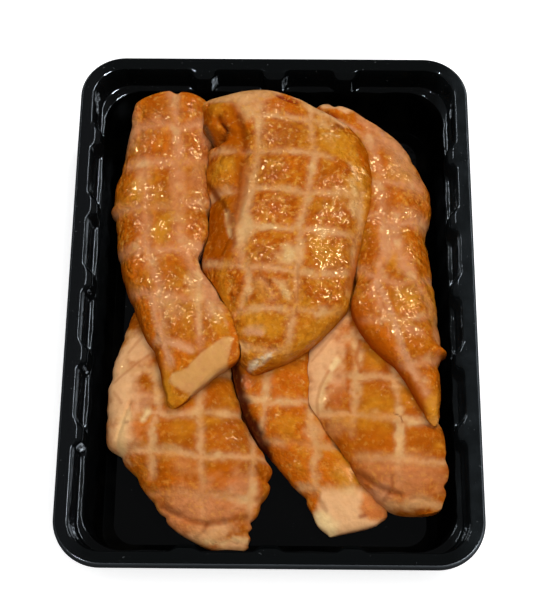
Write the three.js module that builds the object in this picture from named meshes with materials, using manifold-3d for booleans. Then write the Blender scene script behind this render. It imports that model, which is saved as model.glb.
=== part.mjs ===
import * as THREE from 'three';
import Module from 'manifold-3d';

// A deep black meat tray with six grilled poultry breasts, three of them resting on the other three.
// Millimetres. X is to the right, Y runs along the tray to its far end, Z is up, and the base is at Z = 0.

const wasm = await Module();
wasm.setup();
const { Manifold, Mesh } = wasm;

// Tray sizes
const TRAY_W = 190;
const TRAY_L = 260;
const RIM_Z = 45;
const CORNER_R = 21.5;
const FLOOR_Z = 1.4;
const LUG_DEPTH = 3.4;
const LUG_HALF = 3.2;
const LUG_FOOT = 7.6;
const FLUTE_DEPTH = 0.55;
const CORNER_STEPS = 5;

// Lug positions: how many stand on a side, the middle of the row and the pitch along the wall
const LUGS = {
  front: { count: 3, mid: 0, pitch: 36.5 },
  back: { count: 3, mid: 0, pitch: 35 },
  left: { count: 5, mid: 9, pitch: 38.5 },
  right: { count: 5, mid: 5, pitch: 35.5 },
};

// Rings of the tray shell, from the middle of the floor up the inside, over the flange and down the back.
// Each has its inset from the outer edge, its height, its share of the lugs and of the flutes,
// and how much rounder its corner is than a plain offset of the outer one.
const TRAY_RINGS = [
  [22.5, FLOOR_Z, 0, 0, 4],
  [17.6, 2.5, 0, 0, 6],
  [15.2, 6.0, 0, 0.6, 8],
  [14.0, 11.0, 0, 1, 9],
  [11.7, 29.0, 0, 1, 9],
  [11.0, 31.4, 0, 0.6, 8],
  [8.8, 32.2, 0.9, 0, 3],
  [7.4, 41.6, 1, 0, 1],
  [6.6, 44.4, 0.45, 0, 0],
  [5.7, RIM_Z, 0.1, 0, 0],
  [0.9, RIM_Z, 0, 0, 0],
  [0, 44.0, 0, 0, 0],
  [0, 41.0, 0, 0, 0],
  [1.2, 41.0, 0, 0, 0],
  [1.2, 43.6, 0, 0, 0],
  [5.4, 43.6, 0.4, 0, 0],
  [6.2, 41.0, 1, 0, 1],
  [7.5, 31.0, 0.9, 0, 3],
  [9.9, 29.8, 0, 0.6, 8],
  [12.7, 10.6, 0, 1, 9],
  [15.6, 2.4, 0, 0.6, 7],
  [20.0, 0, 0, 0, 4],
];

// Points along one straight side, measured from its middle: four on each lug and one between lugs
function sideStops(row, half) {
  const stops = [];
  const first = row.mid - row.pitch * (row.count - 1) / 2;
  for (let k = 0; k < row.count; k++) {
    const at = first + k * row.pitch;
    stops.push(at - LUG_FOOT, at - LUG_HALF, at + LUG_HALF, at + LUG_FOOT);
    if (k < row.count - 1) stops.push(at + row.pitch / 2);
  }
  return stops.filter((s) => Math.abs(s) < half);
}

// How far a lug stands out at a place along its side, from 0 to 1
function lugShare(row, s) {
  const first = row.mid - row.pitch * (row.count - 1) / 2;
  let share = 0;
  for (let k = 0; k < row.count; k++) {
    const d = Math.abs(s - first - k * row.pitch);
    if (d < LUG_FOOT) share = Math.max(share, Math.min(1, (LUG_FOOT - d) / (LUG_FOOT - LUG_HALF)));
  }
  return share;
}

// The shallow flutes of the lower wall, two for each lug
function fluteShare(row, s) {
  return 0.5 + 0.5 * Math.cos(4 * Math.PI * (s - row.mid) / row.pitch);
}

// One closed loop of the tray, counter-clockwise seen from above
function trayLoop([inset, z, lug, flute, extra]) {
  const loop = [];
  const w = TRAY_W / 2;
  const l = TRAY_L / 2;
  const r = Math.min(CORNER_R - Math.min(inset, CORNER_R - 6) + extra, 30);
  const sides = [
    { row: LUGS.right, n: [1, 0], t: [0, 1], far: w, half: l },
    { row: LUGS.back, n: [0, 1], t: [-1, 0], far: l, half: w },
    { row: LUGS.left, n: [-1, 0], t: [0, -1], far: w, half: l },
    { row: LUGS.front, n: [0, -1], t: [1, 0], far: l, half: w },
  ];
  for (const side of sides) {
    const run = side.half - CORNER_R - 2;
    const flip = side.t[0] + side.t[1];
    const stops = sideStops(side.row, run).sort((a, b) => (a - b) * flip);
    for (const s of stops) {
      const bulge = lug * LUG_DEPTH * lugShare(side.row, s) + flute * FLUTE_DEPTH * fluteShare(side.row, s);
      const out = side.far - inset - bulge;
      loop.push([side.n[0] * out + Math.abs(side.t[0]) * s, side.n[1] * out + Math.abs(side.t[1]) * s, z]);
    }
    const cx = side.n[0] * (side.far - inset - r) + side.t[0] * (side.half - inset - r);
    const cy = side.n[1] * (side.far - inset - r) + side.t[1] * (side.half - inset - r);
    for (let k = 0; k <= CORNER_STEPS; k++) {
      const a = (Math.PI / 2) * k / CORNER_STEPS;
      const dx = side.n[0] * Math.cos(a) + side.t[0] * Math.sin(a);
      const dy = side.n[1] * Math.cos(a) + side.t[1] * Math.sin(a);
      loop.push([cx + r * dx, cy + r * dy, z]);
    }
  }
  return loop;
}

// A closed solid from a stack of loops with the same number of points, capped at both ends
function fromLoops(loops, firstCap, lastCap) {
  const n = loops[0].length;
  const verts = loops.flat().flat();
  const tris = [];
  for (let i = 0; i < loops.length - 1; i++) {
    for (let j = 0; j < n; j++) {
      const a = i * n + j;
      const b = i * n + (j + 1) % n;
      const c = a + n;
      const d = b + n;
      if ((i + j) % 2) tris.push(a, b, d, a, d, c);
      else tris.push(a, b, c, b, d, c);
    }
  }
  const last = (loops.length - 1) * n;
  const first = verts.length / 3;
  verts.push(...firstCap, ...lastCap);
  for (let j = 0; j < n; j++) {
    tris.push(first, (j + 1) % n, j);
    tris.push(first + 1, last + j, last + (j + 1) % n);
  }
  return outward(verts, tris);
}

// The same mesh with its faces turned outward
function outward(verts, tris) {
  let volume = 0;
  for (let k = 0; k < tris.length; k += 3) {
    const [a, b, c] = [tris[k] * 3, tris[k + 1] * 3, tris[k + 2] * 3];
    volume += verts[a] * (verts[b + 1] * verts[c + 2] - verts[b + 2] * verts[c + 1])
      + verts[a + 1] * (verts[b + 2] * verts[c] - verts[b] * verts[c + 2])
      + verts[a + 2] * (verts[b] * verts[c + 1] - verts[b + 1] * verts[c]);
  }
  if (volume < 0) {
    for (let k = 0; k < tris.length; k += 3) [tris[k], tris[k + 1]] = [tris[k + 1], tris[k]];
  }
  return { verts, tris };
}

// Meat pieces. Each row is one slice across the piece: its place along the tray (Y), its left and right
// edges (X), the heights of those two edges, and the heights of the crest and of the underside.
// net holds the marks that the cooking net pressed in: the first cross line, their pitch,
// the lines that run along the piece as X at its far and near end, and how far the edge is drawn in.
const REST_Z = 1.75;
const MEAT = {
  breast_far_left: {
    rows: [
      [117, -61, -34, 35, 32, 38, 28],
      [110, -69.5, -31, 31, 26, 36.5, 22],
      [100, -72, -30, 25, 20, 34.5, 13],
      [84, -74.5, -31, 19, 16, 31.5, 5],
      [62, -79, -30.5, 16, 18, 30, REST_Z],
      [44, -77, -31.5, 15, 22, 30, REST_Z],
      [27, -74, -35, 16, 24, 31, 3],
      [8, -68, -25, 17, 26, 32, 8],
      [-10, -61, -13.5, 20, 27, 32.5, 13],
      [-24, -54, -15, 23, 27, 32, 16],
      [-34, -51, -27, 24, 27, 30.5, 18],
      [-49, -48, -43, 24, 25, 27, 20],
    ],
    endRound: 7,
    net: { first: 101, pitch: 24, along: [[-50, -56], [-41, -32]], pinch: 0.7 },
  },
  breast_far_right: {
    rows: [
      [115.5, 19, 35, 25, 25, 28, 18],
      [106, 18, 49, 20, 23, 26.5, 10],
      [96, 23, 63, 16, 18, 26.5, 4],
      [80, 29, 72.5, 11, 16, 27.5, REST_Z],
      [62, 34, 78.5, 9, 15, 28.5, REST_Z],
      [42, 38, 75.5, 12, 15, 30, 2.5],
      [22, 40, 77.5, 20, 16, 31, 5],
      [2, 37.5, 79, 24, 18, 32.5, 9],
      [-16, 46.5, 80, 25, 21, 33, 14],
      [-32, 61, 79, 25, 22, 31.5, 17],
      [-46, 68.5, 79, 24, 22, 29, 19],
      [-56, 73, 78.5, 23, 22, 25, 20],
    ],
    endRound: 7,
    net: { first: 108, pitch: 22.5, along: [[46, 60], [66, 74]], pinch: 0.7 },
  },
  breast_far_centre: {
    rows: [
      [117.3, -20, 6, 35, 35, 38.5, 28],
      [109, -36, 18, 32, 34, 39, 20],
      [98, -36.5, 38, 26, 30, 39, 13],
      [82, -34, 48, 15, 25, 39, 9],
      [62, -37, 51, 13, 21, 39, 8],
      [42, -38, 46.5, 12, 20, 38.8, 8],
      [22, -35, 40.5, 13, 21, 38.5, 10],
      [3, -28, 36.5, 17, 23, 37.5, 13],
      [-10, -22, 26.5, 20, 24, 36, 15],
      [-22, -17, 13, 22, 24, 33, 17],
      [-31, -12, -4, 22, 22, 28, 18],
    ],
    endRound: 8,
    net: { first: 101, pitch: 20.7, along: [[-9, -14], [20, 8], [45, 36]], pinch: 0.5 },
    grooves: [
      { path: [[-22, 104], [-15, 88], [-13, 76], [-15, 58], [-17, 44]], depth: 4.5, width: 3.2 },
      { path: [[-38, 93], [-27, 94]], depth: 4, width: 2.4 },
    ],
    bumps: [{ at: [-28, 103], height: 3, width: 5 }],
  },
  breast_near_left: {
    rows: [
      [20, -57, -36, 8, 8, 11, REST_Z],
      [8, -66, -29, 10, 9, 15, REST_Z],
      [-10, -71.5, -22.5, 11, 10, 19, REST_Z],
      [-28, -76, -18.5, 11, 11, 21, REST_Z],
      [-45, -78, -14, 10, 10, 22, REST_Z],
      [-61, -77.5, -6.5, 9, 9, 22, REST_Z],
      [-71, -68.5, -0.5, 8, 8, 20.5, REST_Z],
      [-81, -61, 0, 7, 7, 18, REST_Z],
      [-92, -52.5, -4, 6, 6, 14.5, REST_Z],
      [-102, -43.5, -8, 5.5, 5.5, 11, REST_Z],
      [-112, -28, -9, 5, 5, 8, REST_Z],
    ],
    endRound: 5,
    net: { first: -9, pitch: 20, along: [[-55, -53], [-33, -31], [-14, -8]], pinch: 1 },
  },
  breast_near_centre: {
    rows: [
      [24, -9, 9, 8, 8, 11, REST_Z],
      [8, -19, 17, 9, 8, 16, REST_Z],
      [-15, -21, 21, 10, 8, 19, REST_Z],
      [-40, -17, 23, 9, 8, 20, REST_Z],
      [-56, -10, 29, 8, 7, 19, REST_Z],
      [-68, 0, 38, 7, 6, 17, REST_Z],
      [-80, 10.5, 47, 6, 6, 14.5, REST_Z],
      [-91, 18, 54, 5, 5, 11, REST_Z],
      [-98, 21.5, 50, 5, 5, 8.5, REST_Z],
      [-104, 25, 31, 4, 4, 6, REST_Z],
    ],
    endRound: 5,
    net: { first: -4, pitch: 20, along: [[-3, 6], [17, 28]], pinch: 0.8 },
  },
  breast_near_right: {
    rows: [
      [30, 36, 56, 8, 8, 11, REST_Z],
      [14, 27, 67, 12, 9, 16, REST_Z],
      [-6, 20, 74.5, 14, 11, 20, REST_Z],
      [-26, 16, 78, 15, 14, 22, REST_Z],
      [-42, 16.5, 79, 15, 15, 23.5, REST_Z],
      [-54, 23, 80, 14, 16, 23.5, REST_Z],
      [-66, 32.5, 81.2, 13, 20, 23, REST_Z],
      [-79, 40, 81.6, 12, 21, 22, REST_Z],
      [-88, 47, 80.8, 10, 17, 18, REST_Z],
      [-95, 57, 80, 8, 12, 13, REST_Z],
    ],
    endRound: 5,
    net: { first: -12, pitch: 20, along: [[38, 39], [59, 61]], pinch: 1 },
  },
};

// Shape of a slice: how full the top and the underside are, and how deep and wide the net marks are
const TOP_FULL = 2.3;
const UNDER_FULL = 2.6;
const NET_DEPTH = 1.5;
const NET_WIDTH = 2.6;
const TOP_STEPS = 13;
const UNDER_STEPS = 7;
const TIP_STEPS = [0.4, 1.6, 3.8];

// A smooth curve through values at falling stations, with no overshoot between them
function curve(stations, values) {
  const n = stations.length;
  const slopes = [];
  for (let k = 0; k < n - 1; k++) slopes.push((values[k + 1] - values[k]) / (stations[k + 1] - stations[k]));
  const tangents = values.map((_, k) => {
    if (k === 0) return slopes[0];
    if (k === n - 1) return slopes[n - 2];
    if (slopes[k - 1] * slopes[k] <= 0) return 0;
    return 2 * slopes[k - 1] * slopes[k] / (slopes[k - 1] + slopes[k]);
  });
  return (s) => {
    let k = 0;
    while (k < n - 2 && s < stations[k + 1]) k++;
    const span = stations[k + 1] - stations[k];
    const t = Math.min(1, Math.max(0, (s - stations[k]) / span));
    const t2 = t * t;
    const t3 = t2 * t;
    return values[k] * (2 * t3 - 3 * t2 + 1) + tangents[k] * span * (t3 - 2 * t2 + t)
      + values[k + 1] * (3 * t2 - 2 * t3) + tangents[k + 1] * span * (t3 - t2);
  };
}

// Distance from a point to a bent line
function toPath(x, y, path) {
  let best = Infinity;
  for (let k = 0; k < path.length - 1; k++) {
    const [ax, ay] = path[k];
    const [bx, by] = path[k + 1];
    const len = (bx - ax) ** 2 + (by - ay) ** 2;
    const t = Math.min(1, Math.max(0, ((x - ax) * (bx - ax) + (y - ay) * (by - ay)) / len));
    best = Math.min(best, Math.hypot(x - ax - t * (bx - ax), y - ay - t * (by - ay)));
  }
  return best;
}

// Stations along the piece: the tips, the net's cross lines with both their shoulders, and the puffs between
function slicePlaces(far, near, net) {
  const places = [far, near];
  for (const d of TIP_STEPS) places.push(far - d, near + d);
  const inside = [];
  for (let y = net.first + 3 * net.pitch; y > near - net.pitch; y -= net.pitch) {
    inside.push(y, y - NET_WIDTH * 1.3, y - net.pitch / 2, y - net.pitch + NET_WIDTH * 1.3);
  }
  const margin = TIP_STEPS[TIP_STEPS.length - 1] + 2;
  for (const y of inside) if (y < far - margin && y > near + margin) places.push(y);
  return places.sort((a, b) => b - a);
}

// One piece of meat; as a cutter it is grown outward by a small clearance and has no marks
function meatMesh(spec, grow) {
  const column = (k) => spec.rows.map((row) => row[k]);
  const stations = column(0);
  const [xl, xr, zl, zr, crest, under] = [1, 2, 3, 4, 5, 6].map((k) => curve(stations, column(k)));
  const far = stations[0];
  const near = stations[stations.length - 1];
  const net = spec.net;
  const netCross = (y) => {
    const off = (y - net.first) / net.pitch;
    return Math.exp(-(((off - Math.round(off)) * net.pitch / NET_WIDTH) ** 2));
  };
  const relief = (x, y) => {
    let cut = netCross(y);
    const t = (far - y) / (far - near);
    for (const [a, b] of net.along) cut = Math.max(cut, Math.exp(-(((x - a - (b - a) * t) / NET_WIDTH) ** 2)));
    let z = grow ? 0 : -NET_DEPTH * cut;
    for (const g of spec.grooves ?? []) z -= g.depth * Math.exp(-((toPath(x, y, g.path) / g.width) ** 2));
    for (const b of spec.bumps ?? []) {
      const d = Math.hypot(x - b.at[0], y - b.at[1]) / b.width;
      z += b.height * Math.exp(-d * d);
    }
    return z;
  };
  const loops = [];
  for (const y of slicePlaces(far, near, net)) {
    const tip = Math.min(1, Math.min(far - y, y - near) / spec.endRound);
    const close = Math.max(0.06, Math.sqrt(1 - (1 - tip) ** 2));
    const mid = (xl(y) + xr(y)) / 2;
    const half = ((xr(y) - xl(y)) / 2 - (grow ? 0 : net.pinch * netCross(y))) * close ** 0.8 + grow;
    const lines = net.along.map(([a, b]) => (a + (b - a) * (far - y) / (far - near) - mid) / half);
    const ups = [];
    for (let k = 0; k < TOP_STEPS; k++) {
      const c = Math.cos(Math.PI * k / TOP_STEPS);
      ups.push(Math.sign(c) * Math.abs(c) ** (2 / TOP_FULL));
    }
    for (const u of lines) {
      let pick = 3;
      for (let k = 3; k < TOP_STEPS - 2; k++) if (Math.abs(ups[k] - u) < Math.abs(ups[pick] - u)) pick = k;
      if (Math.abs(ups[pick] - u) < 0.15) ups[pick] = u;
    }
    const loop = [];
    const total = TOP_STEPS + UNDER_STEPS;
    for (let k = 0; k < total; k++) {
      const top = k < TOP_STEPS;
      const a = Math.PI * (1 + (k - TOP_STEPS) / UNDER_STEPS);
      const full = top ? TOP_FULL : UNDER_FULL;
      const across = top ? ups[k] : Math.sign(Math.cos(a)) * Math.abs(Math.cos(a)) ** (2 / full);
      const up = Math.max(0, 1 - Math.abs(across) ** full) ** (1 / full);
      const x = mid + half * across;
      const edge = zl(y) + (zr(y) - zl(y)) * (0.5 + 0.5 * across);
      const fade = Math.min(1, up * 1.6) * Math.min(1, tip * 1.5);
      const z = top
        ? edge + ((crest(y) - edge) * close + grow) * up + fade * relief(x, y)
        : edge - ((edge - under(y)) * close + grow) * up;
      loop.push([x, y, z]);
    }
    loops.push(loop);
  }
  const cap = (loop, push) => {
    const mean = [0, 1, 2].map((k) => loop.reduce((sum, p) => sum + p[k], 0) / loop.length);
    mean[1] += push;
    return mean;
  };
  if (grow) {
    for (const p of loops[0]) p[1] += grow;
    for (const p of loops[loops.length - 1]) p[1] -= grow;
  }
  return fromLoops(loops, cap(loops[0], 0.1), cap(loops[loops.length - 1], -0.1));
}

function toManifold({ verts, tris }) {
  return new Manifold(new Mesh({
    numProp: 3,
    vertProperties: new Float32Array(verts),
    triVerts: new Uint32Array(tris),
  }));
}

// The biggest piece that a cut leaves
function biggest(solid) {
  return solid.decompose().reduce((a, b) => (a.volume() >= b.volume() ? a : b));
}

function toMesh(name, solid, color, roughness) {
  const out = solid.getMesh();
  const geometry = new THREE.BufferGeometry();
  const positions = new Float32Array(out.numVert * 3);
  for (let k = 0; k < out.numVert; k++) {
    for (let c = 0; c < 3; c++) positions[k * 3 + c] = out.vertProperties[k * out.numProp + c];
  }
  geometry.setAttribute('position', new THREE.BufferAttribute(positions, 3));
  geometry.setIndex(new THREE.BufferAttribute(new Uint32Array(out.triVerts), 1));
  const mesh = new THREE.Mesh(geometry, new THREE.MeshStandardMaterial({ color, roughness }));
  mesh.name = name;
  return mesh;
}

const loops = TRAY_RINGS.map(trayLoop);
const tray = toManifold(fromLoops(loops, [0, 0, FLOOR_Z], [0, 0, 0]));

// Which pieces each piece rests against: it is cut to lie on them with a small gap
const GAP = 0.9;
const SIMPLER = 0.12;
const CUTTER_SIMPLER = 0.3;
const RESTS_ON = {
  breast_near_left: [],
  breast_near_centre: ['breast_near_left'],
  breast_near_right: ['breast_near_centre'],
  breast_far_left: ['breast_near_left'],
  breast_far_right: ['breast_near_right'],
  breast_far_centre: [
    'breast_near_left', 'breast_near_centre', 'breast_near_right', 'breast_far_left', 'breast_far_right',
  ],
};

const MEAT_COLOR = 0xc07a3a;
const TRAY_COLOR = 0x141616;
const group = new THREE.Group();
group.add(toMesh('tray', tray, TRAY_COLOR, 0.3));
for (const [name, below] of Object.entries(RESTS_ON)) {
  let solid = toManifold(meatMesh(MEAT[name], 0));
  const cutters = below.map((other) => toManifold(meatMesh(MEAT[other], GAP)).simplify(CUTTER_SIMPLER));
  for (const cutter of cutters) solid = solid.subtract(cutter);
  group.add(toMesh(name, biggest(solid).simplify(SIMPLER), MEAT_COLOR, 0.5));
}

export default group;
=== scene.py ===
import itertools
import math

import bmesh
import bpy
import numpy as np
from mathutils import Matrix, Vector


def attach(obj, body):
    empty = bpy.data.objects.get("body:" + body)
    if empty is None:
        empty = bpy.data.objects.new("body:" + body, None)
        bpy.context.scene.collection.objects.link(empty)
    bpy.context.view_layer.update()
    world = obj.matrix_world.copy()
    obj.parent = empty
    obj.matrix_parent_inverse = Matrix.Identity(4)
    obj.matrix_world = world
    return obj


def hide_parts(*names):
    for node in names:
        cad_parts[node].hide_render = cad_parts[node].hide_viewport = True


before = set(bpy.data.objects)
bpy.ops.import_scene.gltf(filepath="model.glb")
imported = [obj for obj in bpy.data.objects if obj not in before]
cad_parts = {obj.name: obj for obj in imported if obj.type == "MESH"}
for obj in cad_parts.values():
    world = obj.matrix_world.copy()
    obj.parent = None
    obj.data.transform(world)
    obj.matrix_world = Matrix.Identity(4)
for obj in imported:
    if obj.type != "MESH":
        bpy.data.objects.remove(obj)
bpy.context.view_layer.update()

MM = 0.001

# The camera, fitted to the outline of the tray's rim
CAMERA_PLACE = (0.00875, -0.33638, 0.76306)
CAMERA_TURN_DEG = (24.976, 0.246, 0.541)
CAMERA_LENS = 102.9
SENSOR = 36.0

# Colours of the meat as they look on a screen, from 0 to 255
COLOURS = {
    "tan": (208, 154, 100),
    "pink": (208, 146, 102),
    "salmon": (202, 132, 84),
    "umber": (168, 84, 12),
    "brown": (180, 94, 10),
    "orange": (196, 98, 12),
    "rust": (166, 74, 4),
    "gold": (204, 132, 28),
    "amber": (164, 76, 0),
    "cream": (220, 180, 122),
    "flap": (206, 152, 88),
    "fat": (228, 206, 170),
    "peach": (226, 172, 120),
    "butter": (234, 200, 142),
    # The next colours but red also paint shade: in creases and crevices, under an overlapping piece and on
    # faces turned down
    "dark": (120, 48, 2),
    "maroon": (60, 14, 4),
    "red": (130, 24, 6),
    "grey": (96, 74, 50),
    "fleck": (222, 154, 62),
}


def linear(colour):
    """A screen colour as linear light."""
    c = np.asarray(colour, float) / 255
    return np.where(c <= 0.04045, c / 12.92, ((c + 0.055) / 1.055) ** 2.4)


# Shared mathematics

def ramp(value, low, high):
    """0 below low, 1 above high, and smooth between."""
    t = np.clip((value - low) / (high - low), 0, 1)
    return t * t * (3 - 2 * t)


def lattice(cells, seed):
    """A steady random number from 0 to 1 for each whole-numbered place."""
    n = cells[..., 0] * 73856093 ^ cells[..., 1] * 19349663 ^ cells[..., 2] * 83492791
    n = (n ^ seed * 2654435761) & 0xFFFFFFFF
    n = ((n ^ n >> 15) * 2246822519) & 0xFFFFFFFF
    n = ((n ^ n >> 13) * 3266489917) & 0xFFFFFFFF
    return ((n ^ n >> 16) & 0xFFFF) / 65535.0


def noise(points, cell, seed):
    """Smooth noise from 0 to 1 whose spots are about one cell wide."""
    q = np.asarray(points, float) / cell
    base = np.floor(q).astype(np.int64)
    f = q - base
    f = f * f * (3 - 2 * f)
    total = np.zeros(q.shape[:-1])
    for corner in itertools.product((0, 1), repeat=3):
        weight = np.prod(np.where(corner, f, 1 - f), axis=-1)
        total += weight * lattice(base + np.array(corner), seed)
    return total


def fractal(points, cell, octaves, seed):
    """Noise with finer and weaker copies of itself on top, from about -1 to 1."""
    total = 0
    size = 0
    for k in range(octaves):
        total = total + (2 * noise(points, cell / 2 ** k, seed + 17 * k) - 1) / 2 ** k
        size += 1 / 2 ** k
    return total / size


def plan(x, y):
    """Places in plan as points at height 0."""
    return np.stack([x, y, np.zeros_like(x)], axis=-1)


def path_distance(x, y, path):
    """Distance in plan to a bent line."""
    best = np.full(np.shape(x), np.inf)
    for (ax, ay), (bx, by) in zip(path, path[1:]):
        dx = bx - ax
        dy = by - ay
        t = np.clip(((x - ax) * dx + (y - ay) * dy) / (dx * dx + dy * dy), 0, 1)
        best = np.minimum(best, np.hypot(x - ax - t * dx, y - ay - t * dy))
    return best


def inside_distance(x, y, outline):
    """Distance in plan to a closed outline, positive inside it."""
    ring = list(outline) + [outline[0]]
    inside = np.zeros(np.shape(x), bool)
    for (ax, ay), (bx, by) in zip(ring, ring[1:]):
        if ay != by:
            crossing = (y > min(ay, by)) & (y <= max(ay, by))
            inside ^= crossing & (x < ax + (y - ay) * (bx - ax) / (by - ay))
    return np.where(inside, 1, -1) * path_distance(x, y, ring)


def swell(off, width):
    """1 at no distance, and fading out over a width."""
    return np.exp(-(off / width) ** 2)


def curve(stations, values, at):
    """A smooth curve through values at falling stations, with no overshoot between them."""
    s = np.asarray(stations, float)[::-1]
    v = np.asarray(values, float)[::-1]
    slopes = np.diff(v) / np.diff(s)
    product = slopes[:-1] * slopes[1:]
    total = slopes[:-1] + slopes[1:]
    middle = np.where(product > 0, 2 * product / np.where(total == 0, 1, total), 0)
    tangents = np.concatenate([slopes[:1], middle, slopes[-1:]])
    k = np.clip(np.searchsorted(s, at, side="right") - 1, 0, len(s) - 2)
    span = s[k + 1] - s[k]
    t = np.clip((at - s[k]) / span, 0, 1)
    rise = v[k] * (1 + t * t * (2 * t - 3)) + v[k + 1] * t * t * (3 - 2 * t)
    return rise + span * t * (1 - t) * (tangents[k] * (1 - t) - tangents[k + 1] * t)


# Meshes

def mesh_object(name, places, faces, material):
    """An object from places in millimetres."""
    mesh = bpy.data.meshes.new(name)
    mesh.from_pydata((np.asarray(places) * MM).tolist(), [], faces)
    mesh.validate()
    mesh.shade_smooth()
    obj = bpy.data.objects.new(name, mesh)
    bpy.context.scene.collection.objects.link(obj)
    if material:
        mesh.materials.append(material)
    return obj


def skin_loops(loops):
    """Faces over closed loops of one length, with a fan over each end."""
    rows, round_count, _ = loops.shape
    places = loops.reshape(-1, 3)
    k = np.arange(round_count)
    after = (k + 1) % round_count
    faces = []
    for row in range(rows - 1):
        here = row * round_count
        there = here + round_count
        faces.extend(np.stack([here + k, here + after, there + after, there + k], axis=1).tolist())
    ends = np.array([loops[0].mean(axis=0), loops[-1].mean(axis=0)])
    first = len(places)
    last_row = (rows - 1) * round_count
    faces.extend([first, int(b), int(a)] for a, b in zip(k, after))
    faces.extend([first + 1, last_row + int(a), last_row + int(b)] for a, b in zip(k, after))
    return np.vstack([places, ends]), faces


def vertex_vectors(mesh, key):
    """The places or the normals of a mesh's vertices."""
    flat = np.empty(len(mesh.vertices) * 3, np.float32)
    mesh.vertices.foreach_get(key, flat)
    return flat.reshape(-1, 3).astype(float)


def write_values(mesh, name, values):
    attribute = mesh.attributes.new(name, "FLOAT", "POINT")
    attribute.data.foreach_set("value", np.asarray(values, np.float32).ravel())


def write_colours(mesh, name, colours):
    attribute = mesh.attributes.new(name, "FLOAT_COLOR", "POINT")
    full = np.ones((len(colours), 4), np.float32)
    full[:, :3] = colours
    attribute.data.foreach_set("color", full.ravel())


# The tray
TRAY_W = 190.0
TRAY_L = 260.0
CORNER_R = 21.5
LEAST_CORNER_R = 6.0
LUG_DEPTH = 3.4
LUG_HALF = 3.2
LUG_FOOT = 7.6
LUG_SOFTENING = 0.6
FLUTE_DEPTH = 0.55
FLUTES_PER_LUG = 2

# How finely the tray's sides, corners and section are divided
SIDE_STEP = 1.1
CORNER_STEPS = 18
SECTION_STEPS = 4
SECTION_LONGEST = 2.5

# The most of a stretch that the rounding of a corner takes up
MOST_ROUNDED = 0.45

# Below this height the inside is in the dark and hardly shines
DEEP_BELOW = 30.4

# Rings with less inset than this are the tray's outside
OUTER_INSET = 0.95

# Lugs on each side: how many, where the middle one is, and their pitch
LUGS = {
    "right": (5, 5.0, 35.5),
    "back": (3, 0.0, 35.0),
    "left": (5, 9.0, 38.5),
    "front": (3, 0.0, 36.5),
}

# Rings of the tray's skin: inset from the rim's outline, height, share of the lugs, share of the
# flutes, added corner radius, and how far the corner of the section is rounded
TRAY_RINGS = [
    (22.5, 1.4, 0, 0, 4, 0.6),
    (17.6, 2.5, 0, 0, 6, 0.5),
    (15.2, 6.0, 0, 0.6, 8, 0.7),
    (14.0, 11.0, 0, 1, 9, 1.0),
    (11.7, 29.0, 0, 1, 9, 1.0),
    (11.0, 31.4, 0, 0.6, 8, 0.6),
    (8.8, 32.2, 0.9, 0, 3, 1.0),
    (7.4, 41.6, 1, 0, 1, 0.6),
    (6.6, 44.4, 0.45, 0, 0, 0.4),
    (5.7, 45.0, 0.1, 0, 0, 0.35),
    (0.9, 45.0, 0, 0, 0, 0.5),
    (0.0, 44.0, 0, 0, 0, 0.5),
    (0.0, 41.0, 0, 0, 0, 0.3),
    (1.2, 41.0, 0, 0, 0, 0.3),
    (1.2, 43.6, 0, 0, 0, 0.4),
    (5.4, 43.6, 0.4, 0, 0, 0.4),
    (6.2, 41.0, 1, 0, 1, 0.5),
    (7.5, 31.0, 0.9, 0, 3, 0.6),
    (9.9, 29.8, 0, 0.6, 8, 0.6),
    (12.7, 10.6, 0, 1, 9, 0.8),
    (15.6, 2.4, 0, 0.6, 7, 1.0),
    (20.0, 0.0, 0, 0, 4, 0.6),
]


def rounded_rings():
    """The tray's rings with their section's corners rounded and its long stretches divided."""
    table = np.array(TRAY_RINGS, float)
    rows = [table[0, :5]]

    def stretch(start, end):
        length = np.hypot(*(end - start)[:2])
        count = max(1, math.ceil(length / SECTION_LONGEST))
        for k in range(1, count + 1):
            rows.append(start + (end - start) * k / count)

    for before, here, after in zip(table, table[1:], table[2:]):
        corner = here[:5]
        ahead = np.hypot(*(after - here)[:2])
        behind = np.hypot(*(here - before)[:2])
        reach = min(here[5], MOST_ROUNDED * ahead, MOST_ROUNDED * behind)
        enter = corner + (before[:5] - corner) * reach / behind
        leave = corner + (after[:5] - corner) * reach / ahead
        stretch(rows[-1], enter)
        for k in range(1, SECTION_STEPS + 1):
            t = k / SECTION_STEPS
            rows.append(enter * (1 - t) ** 2 + corner * 2 * t * (1 - t) + leave * t * t)
    stretch(rows[-1], table[-1, :5])
    return rows


def lug_share(along, side):
    """How far a point along a side belongs to a lug, from 0 to 1."""
    count, middle, pitch = LUGS[side]
    slope = LUG_FOOT - LUG_HALF + 2 * LUG_SOFTENING
    share = np.zeros_like(along)
    for k in range(count):
        off = np.abs(along - middle - (k - (count - 1) / 2) * pitch)
        share = np.maximum(share, ramp(LUG_FOOT + LUG_SOFTENING - off, 0, slope))
    return share


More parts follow.
